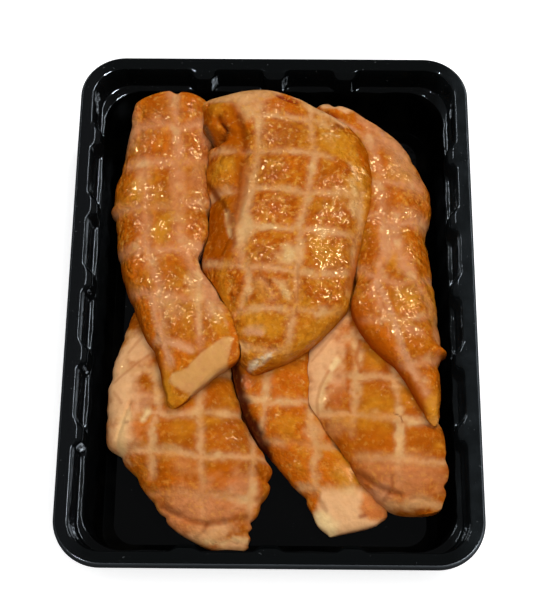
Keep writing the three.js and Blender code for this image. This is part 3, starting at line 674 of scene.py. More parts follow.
BREASTS["breast_far_centre"] = {
    "rows": [
        (117.3, -20, 6, 35, 35, 38.5, 28),
        (109, -36, 18, 32, 34, 39, 20),
        (98, -36.5, 38, 26, 30, 39, 13),
        (82, -34, 48, 15, 25, 39, 9),
        (62, -37, 51, 13, 21, 39, 8),
        (42, -38, 46.5, 12, 20, 38.8, 8),
        (22, -35, 40.5, 13, 21, 38.5, 10),
        (3, -28, 36.5, 17, 23, 37.5, 13),
        (-10, -22, 26.5, 20, 24, 36, 15),
        (-22, -17, 13, 22, 24, 33, 17),
        (-31, -12, -4, 22, 22, 28, 18),
    ],
    "base": "brown", "skin": (0.95, 1.0, 0.5), "grain": (65, 0.12), "round": 8, "ragged": 0.25,
    "net": (101, 20.7, 0.5), "pale": (2.0, 1.9),
    "wet": [
        (41, 70, 9), (28, 90, 7), (29, 62, 8), (28, 26, 10), (27, 8, 8), (2, 88, 9), (-1, 70, 9),
        (0, 48, 9), (28, 45, 9), (-3, 24, 9), (-2, 104, 5), (22, 34, 8),
    ],
    "faint": [(38, -6, 8)],
    "lines": [
        [(-8, 101), (6, 101), (17, 99), (26, 96)],
        [(-31, 85), (-17, 82), (-10, 81), (3, 80), (17, 80), (28, 78)],
        [(-30, 62), (-16, 60), (-10, 61), (3, 60), (14, 58), (40, 59)],
        [(-14, 40), (3, 38), (15, 38), (27, 38), (43, 38)],
        [(-33, 25), (-13, 19), (-4, 18), (12, 16), (21, 15), (39, 19)],
        [(-15, -3), (-11, -3), (11, -3), (21, -4), (32, -1)], [(-15, -20), (-13, -21), (-2, -23), (8, -22)],
        [(-7, 106), (-7, 92), (-9, 73), (-12, 48), (-14, 28), (-11, 17), (-11, 8), (-14, -3)],
        [(19, 106), (18, 98), (20, 78), (16, 53), (13, 39), (14, 30), (12, 17), (12, 3), (9, -12),
         (8, -24)],
        [(43, 61), (42, 42), (39, 32), (39, 23), (37, 8)],
    ],
    "patches": [
        ("tan", -16, 110, 13, 4, 0.9, 5), ("cream", -12, 103, 7, 6, 0.6), ("salmon", -7, 108, 5, 5, 0.6),
        ("orange", 5, 108, 9, 5, 0.8, -10), ("umber", 4, 91, 9, 8, 0.6), ("brown", 27, 68, 8, 7, 0.6),
        ("tan", 22, 105, 12, 3.5, 0.9, -33), ("amber", -31, 100, 7, 8, 0.7), ("gold", -28, 104, 5, 4, 0.5),
        ("amber", -22, 86, 5, 7, 0.7), ("gold", -25, 71, 8, 10, 1.0), ("orange", -24, 66, 6, 6, 0.6),
        ("amber", -28, 44, 8, 18, 1.0, 8), ("amber", -25, 30, 10, 9, 1.0),
        ("gold", 31, 85, 8, 9, 0.85, -30), ("gold", 41, 66, 6, 12, 0.8), ("cream", 40, 52, 4, 5, 0.7),
        ("tan", -13.5, 60, 4, 18, 0.6), ("cream", -14, 44, 4.5, 14, 0.8, 5), ("salmon", -15, 24, 4, 8, 0.6),
        ("gold", 45, 40, 4, 26, 0.8, 5), ("cream", 8, 24, 6, 6, 0.9), ("gold", 27, 27, 8, 7, 0.6),
        ("gold", 20, 30, 4, 5, 0.6), ("cream", 6, 6, 3, 6, 0.5, 25), ("orange", -3, 6, 4, 6, 0.6, 20),
        ("amber", -6, 12, 3, 6, 0.6), ("gold", -7, -7, 8, 9, 0.8), ("tan", -8, -13, 6, 2.5, 0.7),
        ("gold", 1, -13, 5, 6, 0.7), ("gold", 19, -12, 9, 9, 0.5, -40), ("amber", -24, 4, 4, 12, 0.7, 15),
    ],
    "strokes": [
        ("fat", [(-9.6, -28.6), (-4.6, -27), (-0.6, -24.4)], 1.3, 0.9),
        # Painted shade along the long crease, where the lower left strip meets the body
        ("amber", [(-21, 105), (-18, 99), (-16, 91), (-15.5, 83), (-16, 74), (-16, 64), (-17, 54),
         (-19, 44)], 3.8, 0.8),
        ("dark", [(-18, 101), (-15.5, 95), (-14.6, 90), (-14.4, 83)], 1.6, 0.7),
        ("dark", [(-15, 77), (-16, 68), (-16.5, 58), (-18, 48)], 1.3, 0.6),
        # Painted shade in the lobe's crevice and along its lower left edge
        ("dark", [(-26.5, 100), (-24, 95.5), (-23, 93.5), (-25, 91), (-27, 88.5)], 1.3, 0.85),
        ("maroon", [(-25.6, 98), (-23, 94.4), (-22.6, 93.4)], 0.8, 0.95),
        ("grey", [(-34.5, 98), (-33, 94.5), (-30.5, 91.5)], 1.1, 0.8),
        # The second stroke on the next line, the dark one, is painted shade in a crevice
        ("red", [(2, 113), (6, 110.5), (11, 109)], 1.3, 0.9), ("dark", [(31, 96.5), (34, 95.5)], 1.2, 0.8),
        ("tan", [(-5, 10), (0, 2)], 3.4, 0.55), ("gold", [(-6, 8), (-3, 3)], 2.6, 0.5),
        # A painted highlight along the ridge of the fold, and painted shade in the crease beside it
        ("cream", [(1, 10.6), (5, 7), (8, 2)], 1.5, 0.5),
        ("dark", [(-5.4, 13.6), (-2, 9.6), (1.5, 4.6)], 0.6, 0.5),
        # Painted shade along a shallow crease
        ("dark", [(12.4, 20), (12, 9), (12.3, 1.6)], 0.6, 0.35),
        ("dark", [(11.6, -2), (11.4, -6)], 0.6, 0.35),
        # Painted shade along the step down to the sunken strip
        ("dark", [(-32.5, 69), (-28, 62), (-24.5, 56), (-22.4, 50)], 1.0, 0.75),
        ("grey", [(-19.5, 47), (-18.5, 42)], 1.1, 0.5), ("dark", [(-19, 39), (-18, 30)], 1.0, 0.5),
        ("pink", [(-11, -13.4), (-5, -15)], 1.7, 0.9),
        ("gold", [(41, 14), (36, 3), (25, -10), (13, -20), (4, -27)], 4.0, 0.6),
        # Along the right rim, which faces sideways: its own golden brown, darkened as painted shade
        ("amber", [(44, 86), (48, 76), (50, 62), (47, 48), (44, 36), (40, 22), (37, 12)], 2.6, 0.75),
        # Painted sheen: pale streaks in the golden area
        ("cream", [(24, 90.6), (28, 91.2), (32, 89.6)], 0.8, 0.35),
        ("cream", [(37, 76), (41, 68)], 1.4, 0.35), ("cream", [(38, 66), (40, 60)], 1.8, 0.4),
        ("gold", [(-22, 22), (-24, 10), (-20, 0)], 1.6, 0.5),
    ],
    "areas": [
        # A painted highlight along the edge of the fold
        ("cream", [(-23.4, 51), (-21.4, 50), (-19.4, 42), (-19.2, 34), (-21, 36), (-22.6, 43)], 0.9, 0.8),
        ("tan", [(-36, 110), (-20, 117), (4, 118), (4, 113), (-12, 108), (-18, 104), (-24, 107)], 1.5, 0.8),
        ("peach", [(9, 112), (22, 106), (34, 96), (38, 98), (26, 110), (12, 118)], 1.0, 0.8),
        ("gold", [(22, 90), (30, 93), (40, 86), (44, 72), (36, 76), (26, 82)], 1.2, 0.6),
    ],
    "grooves": [
        ([(-19, 103), (-15, 92), (-14, 76), (-15, 58), (-17, 44)], 1.6, 2.0),
        ([(-26, 99), (-24, 95.5), (-23, 93.5), (-25, 91), (-29, 87.5)], 2.6, 1.3),
        ([(2, 113.5), (6, 110.5), (11, 109)], 1.6, 1.4), ([(-5, 13.3), (-2, 9), (1.5, 4.6)], 0.8, 1.1),
        ([(12.4, 20), (12, 9), (12.3, 1.6)], 0.25, 0.6),
    ],
    "ridges": [
        ([(-22, 106), (-28, 105), (-31, 101), (-31, 96.5), (-29, 93.5)], 2.2, 3.0),
        ([(-4, 14), (1, 10.6), (6, 6), (8.4, 1)], 0.6, 1.6),
        ([(12, 110.5), (22, 105), (32, 97.5)], 0.9, 2.0),
    ],
    "bumps": [(-28, 102, 2.0, 5.0), (-25, 72, 1.6, 6.0), (-35, 56, -5.0, 7.0), (-35.5, 43, -5.0, 7.0)],
    "edges": [
        ("left", 91, -7.4, 2.4), ("left", 96, 1.0, 3.0), ("left", 77, 1.6, 5.0), ("left", 60, -3.0, 3.6),
    ],
    "sunk": [
        (-38, 76), (-32.2, 69.0), (-27.9, 62.1), (-24.3, 55.8), (-21.7, 50.1), (-20.1, 44.5), (-19.5, 36.3),
        (-24, 26), (-44, 26), (-44, 76),
    ],
}

# What each piece lies on. Copies of those, grown by the clearance, are cut out of it
RESTS_ON = {
    "breast_near_left": [],
    "breast_near_centre": ["breast_near_left"],
    "breast_near_right": ["breast_near_centre"],
    "breast_far_left": ["breast_near_left"],
    "breast_far_right": ["breast_near_right"],
    "breast_far_centre": [
        "breast_far_left", "breast_far_right", "breast_near_left", "breast_near_centre", "breast_near_right",
    ],
}
CLEARANCE = 0.9

# Seed of the first piece, and the step to the next
FIRST_SEED = 100
SEED_STEP = 50

# How full a slice is above and below, where 2 is an ellipse, and how thin it gets at a tip
TOP_FULL = 2.3
UNDER_FULL = 2.6
LEAST_CLOSE = 0.06

# The net's marks: depth, width, how far they stray, and over what width they draw the edges in
NET_DEPTH = 0.8
NET_WIDTH = 2.2
NET_STRAY = 1.3
NET_STRAY_CELL = 11
NET_PINCH_WIDTH = 2.6

# Relief of the top: size and height of its swellings, then of the rough skin with how far a mark
# flattens it and the step of the seed
SWELLINGS = (13, 0.6)
ROUGH_SKIN = [(5.0, 0.5, 0.5, 5), (2.2, 0.3, 0.6, 9)]
FLAP_THICKNESS = 0.3
SUNK_DEPTH = 1.6

# How finely a piece and a cutter are divided: over the top, over the underside, and along
PIECE_STEPS = (140, 36, 0.7)
CUTTER_STEPS = (60, 26, 2.5)
TIP_SLICES = 12
SHARP_DEG = 60

# Noises for the colours, from broad to crumb: size of the spots, octaves and step of the seed
COLOUR_NOISES = [(13, 3, 47), (6, 3, 41), (2.6, 3, 43), (1.6, 2, 53)]

# How gritty a patch of a colour is, where 1 is the browned skin
GRITTINESS = {
    "gold": 0.6, "amber": 0.3, "cream": 0.3, "tan": 0.5, "pink": 0.5, "peach": 0.2, "butter": 0.2,
}

# Strokes of these colours are dark marks, most of them painted shade in creases, in crevices and on flanks
# turned from the light; the skin under them is less gritty and less wet
SHADE_AND_DARK_STROKES = ("dark", "maroon", "amber", "rust")

# Along the tray, where the marks go over from their near width to their far one
PALE_NEAR = -15
PALE_FAR = 45

# Over what length the painted shade of the flanks sets in
FLANK_SHADE_FADE = 35

# How wide the fibres are, and how much longer than wide
FIBRE_CELL = 2.4
FIBRE_STRETCH = 3
LEAST_WET = 0.12


def net_marks(x, y, spec, width=NET_WIDTH, uneven=0.0):
    """How strongly the cooking net's marks show at a place, from 0 to 1."""
    points = plan(x, y)
    stray_x = x + NET_STRAY * fractal(points, NET_STRAY_CELL, 2, 3)
    stray_y = y + NET_STRAY * fractal(points, NET_STRAY_CELL, 2, 4)
    marks = np.zeros_like(x)
    for path in spec["lines"]:
        off = np.maximum(0, path_distance(stray_x, stray_y, path) + uneven)
        marks = np.maximum(marks, swell(off, width))
    return marks


def flap_depth(x, y, spec):
    """How far a place is inside the thin flap that lies on a piece."""
    return inside_distance(x, y, spec["flap"]) + 0.5 * fractal(plan(x, y), 5, 2, spec["seed"] + 21)


def relief(x, y, spec):
    """Height of the marks, grooves, folds and fine roughness on the top."""
    points = plan(x, y)
    marks = net_marks(x, y, spec)
    cell, height = SWELLINGS
    z = height * fractal(points, cell, 2, spec["seed"]) - NET_DEPTH * marks
    for cell, height, flattened, step in ROUGH_SKIN:
        rough = height * spec["skin"][0] * (1 - flattened * marks)
        z += rough * fractal(points, cell, 2, spec["seed"] + step)
    for path, depth, width in spec["grooves"]:
        z -= depth * swell(path_distance(x, y, path), width)
    for path, height, width in spec["ridges"]:
        z += height * swell(path_distance(x, y, path), width)
    for bump_x, bump_y, height, width in spec["bumps"]:
        z += height * swell(np.hypot(x - bump_x, y - bump_y), width)
    if spec["flap"]:
        z += FLAP_THICKNESS * ramp(flap_depth(x, y, spec), -0.5, 0.7)
    if spec["sunk"]:
        z -= SUNK_DEPTH * ramp(inside_distance(x, y, spec["sunk"]), -0.6, 1.2)
    return z


def slice_places(far, near, step, rounding):
    """Slices along a piece, closer together where its ends round off."""
    tips = rounding * (1 - np.cos(np.linspace(0, np.pi / 2, TIP_SLICES)))
    count = int((far - near - 2 * rounding) / step)
    middle = np.linspace(far - rounding, near + rounding, count)[1:-1]
    return np.concatenate([far - tips, middle, near + tips[::-1]])


def marked_edges(left, right, y, spec):
    """The left and right edges, drawn in by the net, with their nubs, hollows and raggedness."""
    first, pitch, pinch = spec["net"]
    off = (y - first) / pitch
    pinched = pinch * swell((off - np.round(off)) * pitch, NET_PINCH_WIDTH)
    left = left + pinched
    right = right - pinched
    for side, at, size, width in spec["edges"]:
        change = size * swell(y - at, width)
        if side == "left":
            left = left - change
        else:
            right = right + change
    axis = plan(np.zeros_like(y), y)
    left = left + spec["ragged"] * (0.9 * fractal(axis, 7, 3, spec["seed"] + 31))
    right = right + spec["ragged"] * (0.9 * fractal(axis, 7, 3, spec["seed"] + 37))
    return left, right


def breast_loops(spec, grow=0.0):
    """Slices of one piece as closed loops. A cutter is grown outward and has no marks."""
    stations, *columns = zip(*spec["rows"])
    far = stations[0]
    near = stations[-1]
    top_steps, under_steps, step = CUTTER_STEPS if grow else PIECE_STEPS
    y = slice_places(far, near, step, spec["round"])
    left, right, left_z, right_z, crest, under = [curve(stations, values, y) for values in columns]
    if not grow:
        left, right = marked_edges(left, right, y, spec)
    tip = np.clip(np.minimum(far - y, y - near) / spec["round"], 0, 1)
    close = np.maximum(LEAST_CLOSE, np.sqrt(1 - (1 - tip) ** 2))
    middle = (left + right) / 2
    half = (right - left) / 2 * close ** 0.8 + grow

    top_turn = np.pi * np.arange(top_steps) / top_steps
    under_turn = np.pi * (1 + np.arange(under_steps) / under_steps)
    turn = np.concatenate([top_turn, under_turn])
    is_top = np.arange(len(turn)) < top_steps
    full = np.where(is_top, TOP_FULL, UNDER_FULL)
    across = np.sign(np.cos(turn)) * np.abs(np.cos(turn)) ** (2 / full)
    up = np.maximum(0, 1 - np.abs(across) ** full) ** (1 / full)

    def column(values):
        return values[:, None]

    x = column(middle) + column(half) * across
    ys = np.repeat(column(y), len(turn), axis=1)
    edge = column(left_z) + column(right_z - left_z) * (0.5 + 0.5 * across)
    top = edge + ((column(crest) - edge) * column(close) + grow) * up
    bottom = edge - ((edge - column(under)) * column(close) + grow) * up
    if grow:
        ys[0] += grow
        ys[-1] -= grow
    else:
        fade = np.minimum(1, up * 1.6) * np.minimum(1, column(tip) * 1.5)
        top = top + fade * relief(x, ys, spec)
        for end, at, depth, width in spec["ends"]:
            reach = far - ys if end == "far" else ys - near
            pull = depth * swell(x - at, width) * ramp(-reach, -10, 0)
            ys = ys - pull if end == "far" else ys + pull
    return np.stack([x, ys, np.where(is_top, top, bottom)], axis=-1)


def keep_largest(mesh):
    """Removes the loose scraps that a cut leaves."""
    edges = np.empty(len(mesh.edges) * 2, np.int32)
    mesh.edges.foreach_get("vertices", edges)
    edges = edges.reshape(-1, 2)
    label = np.arange(len(mesh.vertices))
    while True:
        low = np.minimum(label[edges[:, 0]], label[edges[:, 1]])
        new = label.copy()
        np.minimum.at(new, edges[:, 0], low)
        np.minimum.at(new, edges[:, 1], low)
        new = new[new]
        if np.array_equal(new, label):
            break
        label = new
    names, counts = np.unique(label, return_counts=True)
    if len(names) == 1:
        return
    keep = names[np.argmax(counts)]
    work = bmesh.new()
    work.from_mesh(mesh)
    work.verts.ensure_lookup_table()
    scraps = [work.verts[int(k)] for k in np.nonzero(label != keep)[0]]
    bmesh.ops.delete(work, geom=scraps, context="VERTS")
    work.to_mesh(mesh)
    work.free()


def cut_away(obj, cutters):
    """Cuts an object by the grown copies of what it rests on."""
    if not cutters:
        return
    for cutter in cutters:
        step = obj.modifiers.new("fit", "BOOLEAN")
        step.operation = "DIFFERENCE"
        step.solver = "MANIFOLD"
        step.object = cutter
    shaped = obj.evaluated_get(bpy.context.evaluated_depsgraph_get())
    mesh = bpy.data.meshes.new_from_object(shaped)
    obj.modifiers.clear()
    obj.data = mesh
    keep_largest(mesh)


def paint_breast(mesh, spec):
    """Colours, with painted shade on the flanks and undersides, and surface values, worked out for each
    vertex from its place and the way it faces.
    """
    places = vertex_vectors(mesh, "co") / MM
    upward = vertex_vectors(mesh, "normal")[:, 2]
    x, y, _ = places.T
    broad, soft, fine, crumb = [
        fractal(places, cell, octaves, spec["seed"] + step) for cell, octaves, step in COLOUR_NOISES
    ]
    mottle, wetness, flank_shade = spec["skin"]
    flank_shade = flank_shade * ramp(spec["band_from"] - y, 0, FLANK_SHADE_FADE)
    colour = np.repeat(linear(COLOURS[spec["base"]])[None], len(x), axis=0)
    grit = np.full(len(x), mottle)

    def blend(kind, share):
        nonlocal colour
        share = np.clip(share, 0, 1)[:, None]
        colour = colour * (1 - share) + linear(COLOURS[kind]) * share

    def cover(kind, share):
        nonlocal grit
        blend(kind, share)
        grit = grit * (1 - share) + mottle * GRITTINESS.get(kind, 1.0) * share

    # Browned skin with its patches
    blend("orange", 0.8 * mottle * ramp(broad, -0.2, 0.3))
    blend("gold", 0.55 * ramp(-broad, 0.0, 0.4))
    blend("rust", 0.75 * mottle * ramp(fine + 0.6 * soft, 0.05, 0.5))
    blend("gold", 0.6 * mottle * ramp(-fine, 0.08, 0.4))
    for kind, patch_x, patch_y, wide, long, strength, *turn in spec["patches"]:
        angle = math.radians(turn[0]) if turn else 0.0
        dx = (x - patch_x) * math.cos(angle) + (y - patch_y) * math.sin(angle)
        dy = -(x - patch_x) * math.sin(angle) + (y - patch_y) * math.cos(angle)
        off = np.hypot(dx / wide, dy / long) + 0.45 * soft + 0.3 * fine
        cover(kind, strength * (1 - ramp(off, 0.35, 1.35)))
    for kind, outline, blur, strength in spec["areas"]:
        depth = inside_distance(x, y, outline) + blur * (0.5 * soft + 0.4 * fine)
        cover(kind, strength * ramp(depth, -blur, blur))

    # Pale marks of the net
    far_pale, near_pale = spec["pale"]
    width = near_pale + (far_pale - near_pale) * ramp(y, PALE_NEAR, PALE_FAR)
    marks = net_marks(x, y, spec, width, 1.2 * crumb + 1.4 * soft)
    line = marks * np.clip(0.8 + 0.7 * broad, 0.3, 0.95)
    for faint_x, faint_y, size in spec["faint"]:
        off = np.hypot(x - faint_x, y - faint_y) / size + 0.3 * soft
        line = line * (0.3 + 0.7 * ramp(off, 0.5, 1.2))
    blend(spec["line"], line)
    blend("pink", 0.5 * line * ramp(soft, 0.0, 0.4))
    blend("cream", 0.5 * line * ramp(-soft, 0.1, 0.5))
    grit = grit * (1 - 0.6 * line)
    blend("fleck", 0.8 * ramp(crumb, 0.25, 0.55) * ramp(soft + broad, -0.1, 0.4) * grit)

    # Fibres, and painted shade that browns the flanks and darkens faces turned down, which a flap covers
    flap = np.zeros(len(x))
    if spec["flap"]:
        flap = ramp(flap_depth(x, y, spec) + 0.8 * soft, -0.8, 0.8)
    grain_deg, grain_strength = spec["grain"]
    turn = math.radians(grain_deg)
    along = (x * math.cos(turn) + y * math.sin(turn)) / FIBRE_STRETCH
    across = y * math.cos(turn) - x * math.sin(turn)
    fibres = fractal(plan(along, across), FIBRE_CELL, 2, spec["seed"] + 59)
    fibres = fibres * (1 - flap) * np.clip(0.25 + grit / mottle, 0, 1)
    colour = colour * (1 + grain_strength * fibres)[:, None]
    flank = 1 - ramp(upward + 0.12 * soft, 0.1, 0.75)
    blend("amber", 0.85 * flank_shade * flank * (1 - flap))
    # Painted shade: faces turned down are darkened
    blend("dark", 0.35 * (1 - flap) * (1 - ramp(upward, -0.3, 0.2)))

    # Dark strokes, most of them painted shade in creases, and pale streaks, some of them painted highlights,
    # and the flap above them
    shade_and_dark = np.zeros(len(x))
    for kind, path, width, strength in spec["strokes"]:
        off = path_distance(x, y, path) + width * (0.3 * fine + 0.4 * soft)
        share = strength * (1 - ramp(off, 0.2 * width, 1.5 * width))
        blend(kind, share)
        if kind in SHADE_AND_DARK_STROKES:
            shade_and_dark = np.maximum(shade_and_dark, share)
    blend("flap", flap * (0.9 + 0.1 * soft))
    blend("salmon", 0.35 * flap * ramp(fine + soft, 0.1, 0.5))
    grit = grit * (1 - 0.8 * shade_and_dark) * (1 - 0.85 * flap) * (1 - 0.5 * flank)

    wet = np.full(len(x), LEAST_WET)
    for wet_x, wet_y, size in spec["wet"]:
        off = np.hypot(x - wet_x, y - wet_y) / size + 0.4 * soft + 0.5 * fine
        wet = np.maximum(wet, 1 - ramp(off, 0.5, 1.3))
    write_colours(mesh, "tint", colour)
    write_values(mesh, "grit", np.clip(grit, 0, 1))
    write_values(mesh, "wet", np.clip(wetness * wet * (1 - shade_and_dark), 0, 1))


def make_breasts(material):
    specs = {}
    cutters = {}
    for k, (name, spec) in enumerate(BREASTS.items()):
        specs[name] = {**PLAIN, **spec, "seed": FIRST_SEED + SEED_STEP * k}
        places, faces = skin_loops(breast_loops(specs[name], CLEARANCE))
        cutters[name] = mesh_object("cutter_" + name, places, faces, None)
    pieces = []
    for name, spec in specs.items():
        places, faces = skin_loops(breast_loops(spec))
        piece = mesh_object(name + "_meat", places, faces, material)
        cut_away(piece, [cutters[other] for other in RESTS_ON[name]])
        piece.data.shade_smooth()
        piece.data.set_sharp_from_angle(angle=math.radians(SHARP_DEG))
        paint_breast(piece.data, spec)
        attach(piece, "root")
        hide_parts(name)
        pieces.append(piece)
    for cutter in cutters.values():
        bpy.data.objects.remove(cutter)
    return pieces


# Materials

# Where a mix node has its sockets for colours
MIX_SHARE = 0
MIX_FIRST = 6
MIX_SECOND = 7
MIX_RESULT = 2


class Nodes:
    """A short way to write a material's nodes."""

    def __init__(self, name):
        self.material = bpy.data.materials.new(name)
        self.material.use_nodes = True
        self.tree = self.material.node_tree
        self.tree.nodes.clear()
        output = self.add("ShaderNodeOutputMaterial")
        self.shader = self.add("ShaderNodeBsdfPrincipled")
        self.put(output, {"Surface": self.shader.outputs["BSDF"]})

    def add(self, kind, **settings):
        node = self.tree.nodes.new(kind)
        for key, value in settings.items():
            setattr(node, key, value)
        return node

    def put(self, node, values):
        """Sets sockets to numbers, or links them to other nodes' outputs."""
        for key, value in values.items():
            if hasattr(value, "node"):
                self.tree.links.new(value, node.inputs[key])
            else:
                node.inputs[key].default_value = value

    def surface(self, values):
        """The finished material, with these values for its shader."""
        self.put(self.shader, values)
        return self.material

    def places(self):
        return self.add("ShaderNodeTexCoord").outputs["Object"]

    def attribute(self, name, output):
        return self.add("ShaderNodeAttribute", attribute_name=name).outputs[output]

    def noise(self, per_mm, detail, rough=0.5):
        node = self.add("ShaderNodeTexNoise")
        self.put(node, {"Vector": self.places(), "Scale": per_mm / MM, "Detail": detail, "Roughness": rough})
        return node.outputs["Fac"]

    def maths(self, operation, a, b):
        node = self.add("ShaderNodeMath", operation=operation)
        self.put(node, {0: a, 1: b})
        return node.outputs[0]

    def layered(self, per_mm, detail, fine_per_mm, share):
        """A noise with a share of a finer one on top."""
        fine = self.maths("MULTIPLY", self.noise(fine_per_mm, 1), share)
        return self.maths("ADD", self.noise(per_mm, detail), fine)

    def spread(self, value, low, high, out_low=0.0, out_high=1.0):
        node = self.add("ShaderNodeMapRange")
        self.put(node, {
            "Value": value, "From Min": low, "From Max": high, "To Min": out_low, "To Max": out_high,
        })
        return node.outputs["Result"]

    def mix(self, share, a, b, mode="MIX"):
        node = self.add("ShaderNodeMix", data_type="RGBA", blend_type=mode)
        a, b = [value if hasattr(value, "node") else (*value, 1.0) for value in (a, b)]
        self.put(node, {MIX_SHARE: share, MIX_FIRST: a, MIX_SECOND: b})
        return node.outputs[MIX_RESULT]

    def bump(self, height, distance_mm, strength):
        node = self.add("ShaderNodeBump")
        self.put(node, {"Height": height, "Distance": distance_mm * MM, "Strength": strength})
        return node.outputs["Normal"]


# Colours as linear light: the light specks of the browned skin and its pits
SPOT = (0.66, 0.30, 0.045)
PIT = (0.68, 0.46, 0.18)

# The plastic, also as linear light: deep inside, low and high, darker inside as painted shade; lighter at the
# sides as a painted reflection; and dusty
DEEP_BLACK = (0.0002, 0.0002, 0.0002)
DEEP_STREAK = (0.0014, 0.0013, 0.0010)
LOW_BLACK = (0.0006, 0.0006, 0.0006)
HIGH_BLACK = (0.0016, 0.0021, 0.0022)
LEFT_PAINTED_SHEEN = (0.006, 0.0065, 0.0075)
RIGHT_PAINTED_SHEEN = (0.010, 0.0125, 0.014)
DUST = (0.25, 0.27, 0.28)
PLASTIC_IOR = 1.49


def meat_material():
    n = Nodes("grilled_meat")
    grit = n.attribute("grit", "Fac")
    grain = n.spread(n.noise(0.34, 4, 0.62), 0.36, 0.62)
    pits = n.maths("MULTIPLY", n.maths("SUBTRACT", 1.0, grain), n.spread(grit, 0, 1, 0.10, 0.62))
    spots = n.maths("MULTIPLY", n.spread(n.noise(0.42, 2), 0.57, 0.68), n.spread(grit, 0, 1, 0.0, 0.65))
    return n.surface({
        "Base Color": n.mix(spots, n.mix(pits, n.attribute("tint", "Color"), PIT, "MULTIPLY"), SPOT),
        "Roughness": 0.6,
        "Specular IOR Level": 0.0,
        "Subsurface Weight": 0.05,
        "Subsurface Radius": (1.0, 0.38, 0.14),
        "Subsurface Scale": 0.001,
        "Coat Weight": n.attribute("wet", "Fac"),
        "Coat Roughness": 0.055,
        "Normal": n.bump(n.layered(0.26, 2, 0.7, 0.25), 2.4, n.spread(grit, 0, 1, 0.15, 1.0)),
        "Coat Normal": n.bump(n.layered(0.26, 1, 0.62, 0.25), 1.5, n.spread(grit, 0, 0.6, 0.45, 1.0)),
    })


def deep_tray_material():
    n = Nodes("black_plastic_deep")
    streaks = n.spread(n.noise(0.06, 3, 0.6), 0.42, 0.68)
    return n.surface({
        # Painted shade: deep inside the tray the black is deepest
        "Base Color": n.mix(streaks, DEEP_BLACK, DEEP_STREAK),
        "Roughness": 0.4,
        "IOR": PLASTIC_IOR,
        "Specular IOR Level": 0.01,
    })


def tray_material():
    n = Nodes("black_plastic")
    parts = n.add("ShaderNodeSeparateXYZ")
    n.put(parts, {"Vector": n.places()})
    across = parts.outputs["X"]
    height = parts.outputs["Z"]
    sheen_patches = n.spread(n.noise(0.09, 4, 0.65), 0.4, 0.7)
    dust = n.spread(n.noise(0.7, 1, 0.4), 0.76, 0.8)
    # Painted reflection: lighter at the left side, and patchily at the right
    left = n.maths("MULTIPLY", n.spread(across, -0.080, -0.089), 0.6)
    right = n.maths("MULTIPLY", n.spread(across, 0.080, 0.089), n.spread(sheen_patches, 0, 1, 0.35, 1.0))
    # Painted shade: darker low inside the tray than high up
    base = n.mix(n.spread(height, 0.030, 0.045), LOW_BLACK, HIGH_BLACK)
    base = n.mix(left, base, LEFT_PAINTED_SHEEN)
    base = n.mix(right, base, RIGHT_PAINTED_SHEEN)
    return n.surface({
        "Base Color": n.mix(n.maths("MULTIPLY", dust, 0.12), base, DUST),
        "Roughness": n.spread(n.attribute("outer", "Fac"), 0, 1, 0.08, 0.6),
        "Normal": n.bump(n.layered(0.16, 2, 0.45, 0.45), 0.3, n.spread(height, 0.0325, 0.036, 1.0, 0.3)),
        "IOR": PLASTIC_IOR,
        "Specular IOR Level": 0.5,
    })


def floor_material():
    return Nodes("studio_floor").surface({
        "Base Color": (0.93, 0.93, 0.93, 1.0),
        "Roughness": 0.9,
        "Emission Color": (1.0, 1.0, 1.0, 1.0),
        "Emission Strength": 0.55,
    })


# Studio
FLOOR_SIZE = 6
AIM = (0, 0, 0.03)
WARM = (1.0, 0.78, 0.40)
COOL = (0.80, 0.90, 1.0)
SKY = (0.9, 0.95, 1.0, 1.0)
SKY_STRENGTH = 0.08

# Lights that only make glints: place, size, power
MEAT_GLINTS = [
    ((0.50, 0.38, 0.95), (0.12, 0.12), 4.8),
    ((-0.52, 0.30, 0.95), (0.12, 0.12), 4.6),
    ((0.05, 0.95, 0.72), (0.12, 0.12), 3.6),
    ((0.88, 0.42, 0.60), (0.12, 0.12), 7.0),
    ((-0.88, 0.42, 0.60), (0.12, 0.12), 3.2),
    ((-0.12, -0.72, 0.86), (0.10, 0.10), 1.6),
]
TRAY_GLINTS = [
    ((0.80, 0.50, 0.72), (0.80, 0.045), 5.0),
    ((-0.75, 0.72, 0.72), (0.35, 0.035), 1.8),
    ((0.60, -0.18, 0.85), (0.08, 0.08), 6.0),
    ((0.62, -0.42, 0.80), (0.32, 0.09), 16.0),
    ((-0.40, -0.25, 0.95), (0.06, 0.06), 4.0),
]

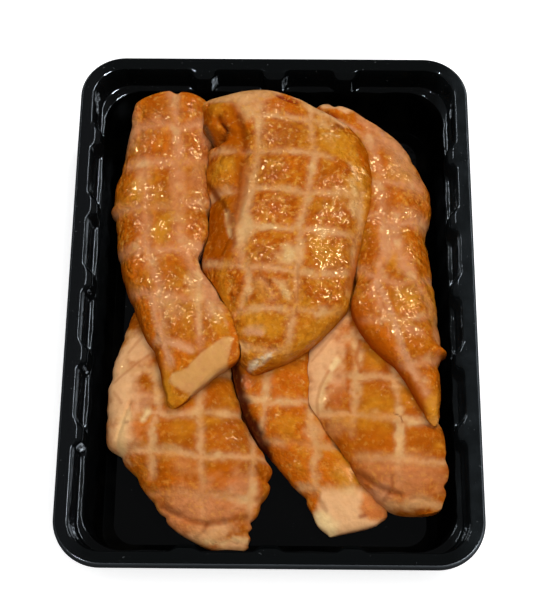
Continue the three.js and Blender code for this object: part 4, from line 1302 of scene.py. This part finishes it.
# Wide lights that only light the surfaces
SOFT_LIGHTS = [
    ((0.30, 0.50, 1.05), (0.4, 0.4), 6.4),
    ((0.0, -0.45, 1.25), (1.2, 0.9), 13.4),
]


def area_light(name, place, size, power, colour=(1, 1, 1)):
    """A rectangular light that points at the meat."""
    data = bpy.data.lights.new(name, "AREA")
    data.shape = "RECTANGLE"
    data.size, data.size_y = size
    data.energy = power
    data.color = colour
    obj = bpy.data.objects.new(name, data)
    bpy.context.scene.collection.objects.link(obj)
    obj.location = place
    obj.rotation_euler = (Vector(AIM) - Vector(place)).to_track_quat("-Z", "Y").to_euler()
    return obj


def make_studio(tray, meat):
    bpy.ops.mesh.primitive_plane_add(size=FLOOR_SIZE, location=(0, 0, 0))
    floor = bpy.context.object
    floor.name = "studio_floor"
    floor.data.materials.append(floor_material())
    floor.visible_glossy = False

    for name, glints, colour, lit in (("meat", MEAT_GLINTS, WARM, meat), ("tray", TRAY_GLINTS, COOL, [tray])):
        group = bpy.data.collections.new("lit_" + name)
        for piece in lit:
            group.objects.link(piece)
        for k, (place, size, power) in enumerate(glints):
            light = area_light(f"{name}_glint_{k}", place, size, power, colour)
            light.visible_diffuse = False
            light.light_linking.receiver_collection = group
    for k, (place, size, power) in enumerate(SOFT_LIGHTS):
        light = area_light(f"soft_{k}", place, size, power)
        light.visible_glossy = False
    for piece in meat:
        piece.visible_glossy = False

    world = bpy.data.worlds.new("studio")
    world.use_nodes = True
    background = world.node_tree.nodes["Background"]
    background.inputs["Color"].default_value = SKY
    background.inputs["Strength"].default_value = SKY_STRENGTH
    bpy.context.scene.world = world
    bpy.context.scene.view_settings.view_transform = "Standard"


def make_camera():
    data = bpy.data.cameras.new("camera")
    data.lens = CAMERA_LENS
    data.sensor_fit = "AUTO"
    data.sensor_width = SENSOR
    camera = bpy.data.objects.new("camera", data)
    bpy.context.scene.collection.objects.link(camera)
    camera.location = CAMERA_PLACE
    camera.rotation_euler = [math.radians(a) for a in CAMERA_TURN_DEG]
    bpy.context.scene.camera = camera


make_camera()
tray_body = make_tray(tray_material(), deep_tray_material())
meat_pieces = make_breasts(meat_material())
make_studio(tray_body, meat_pieces)
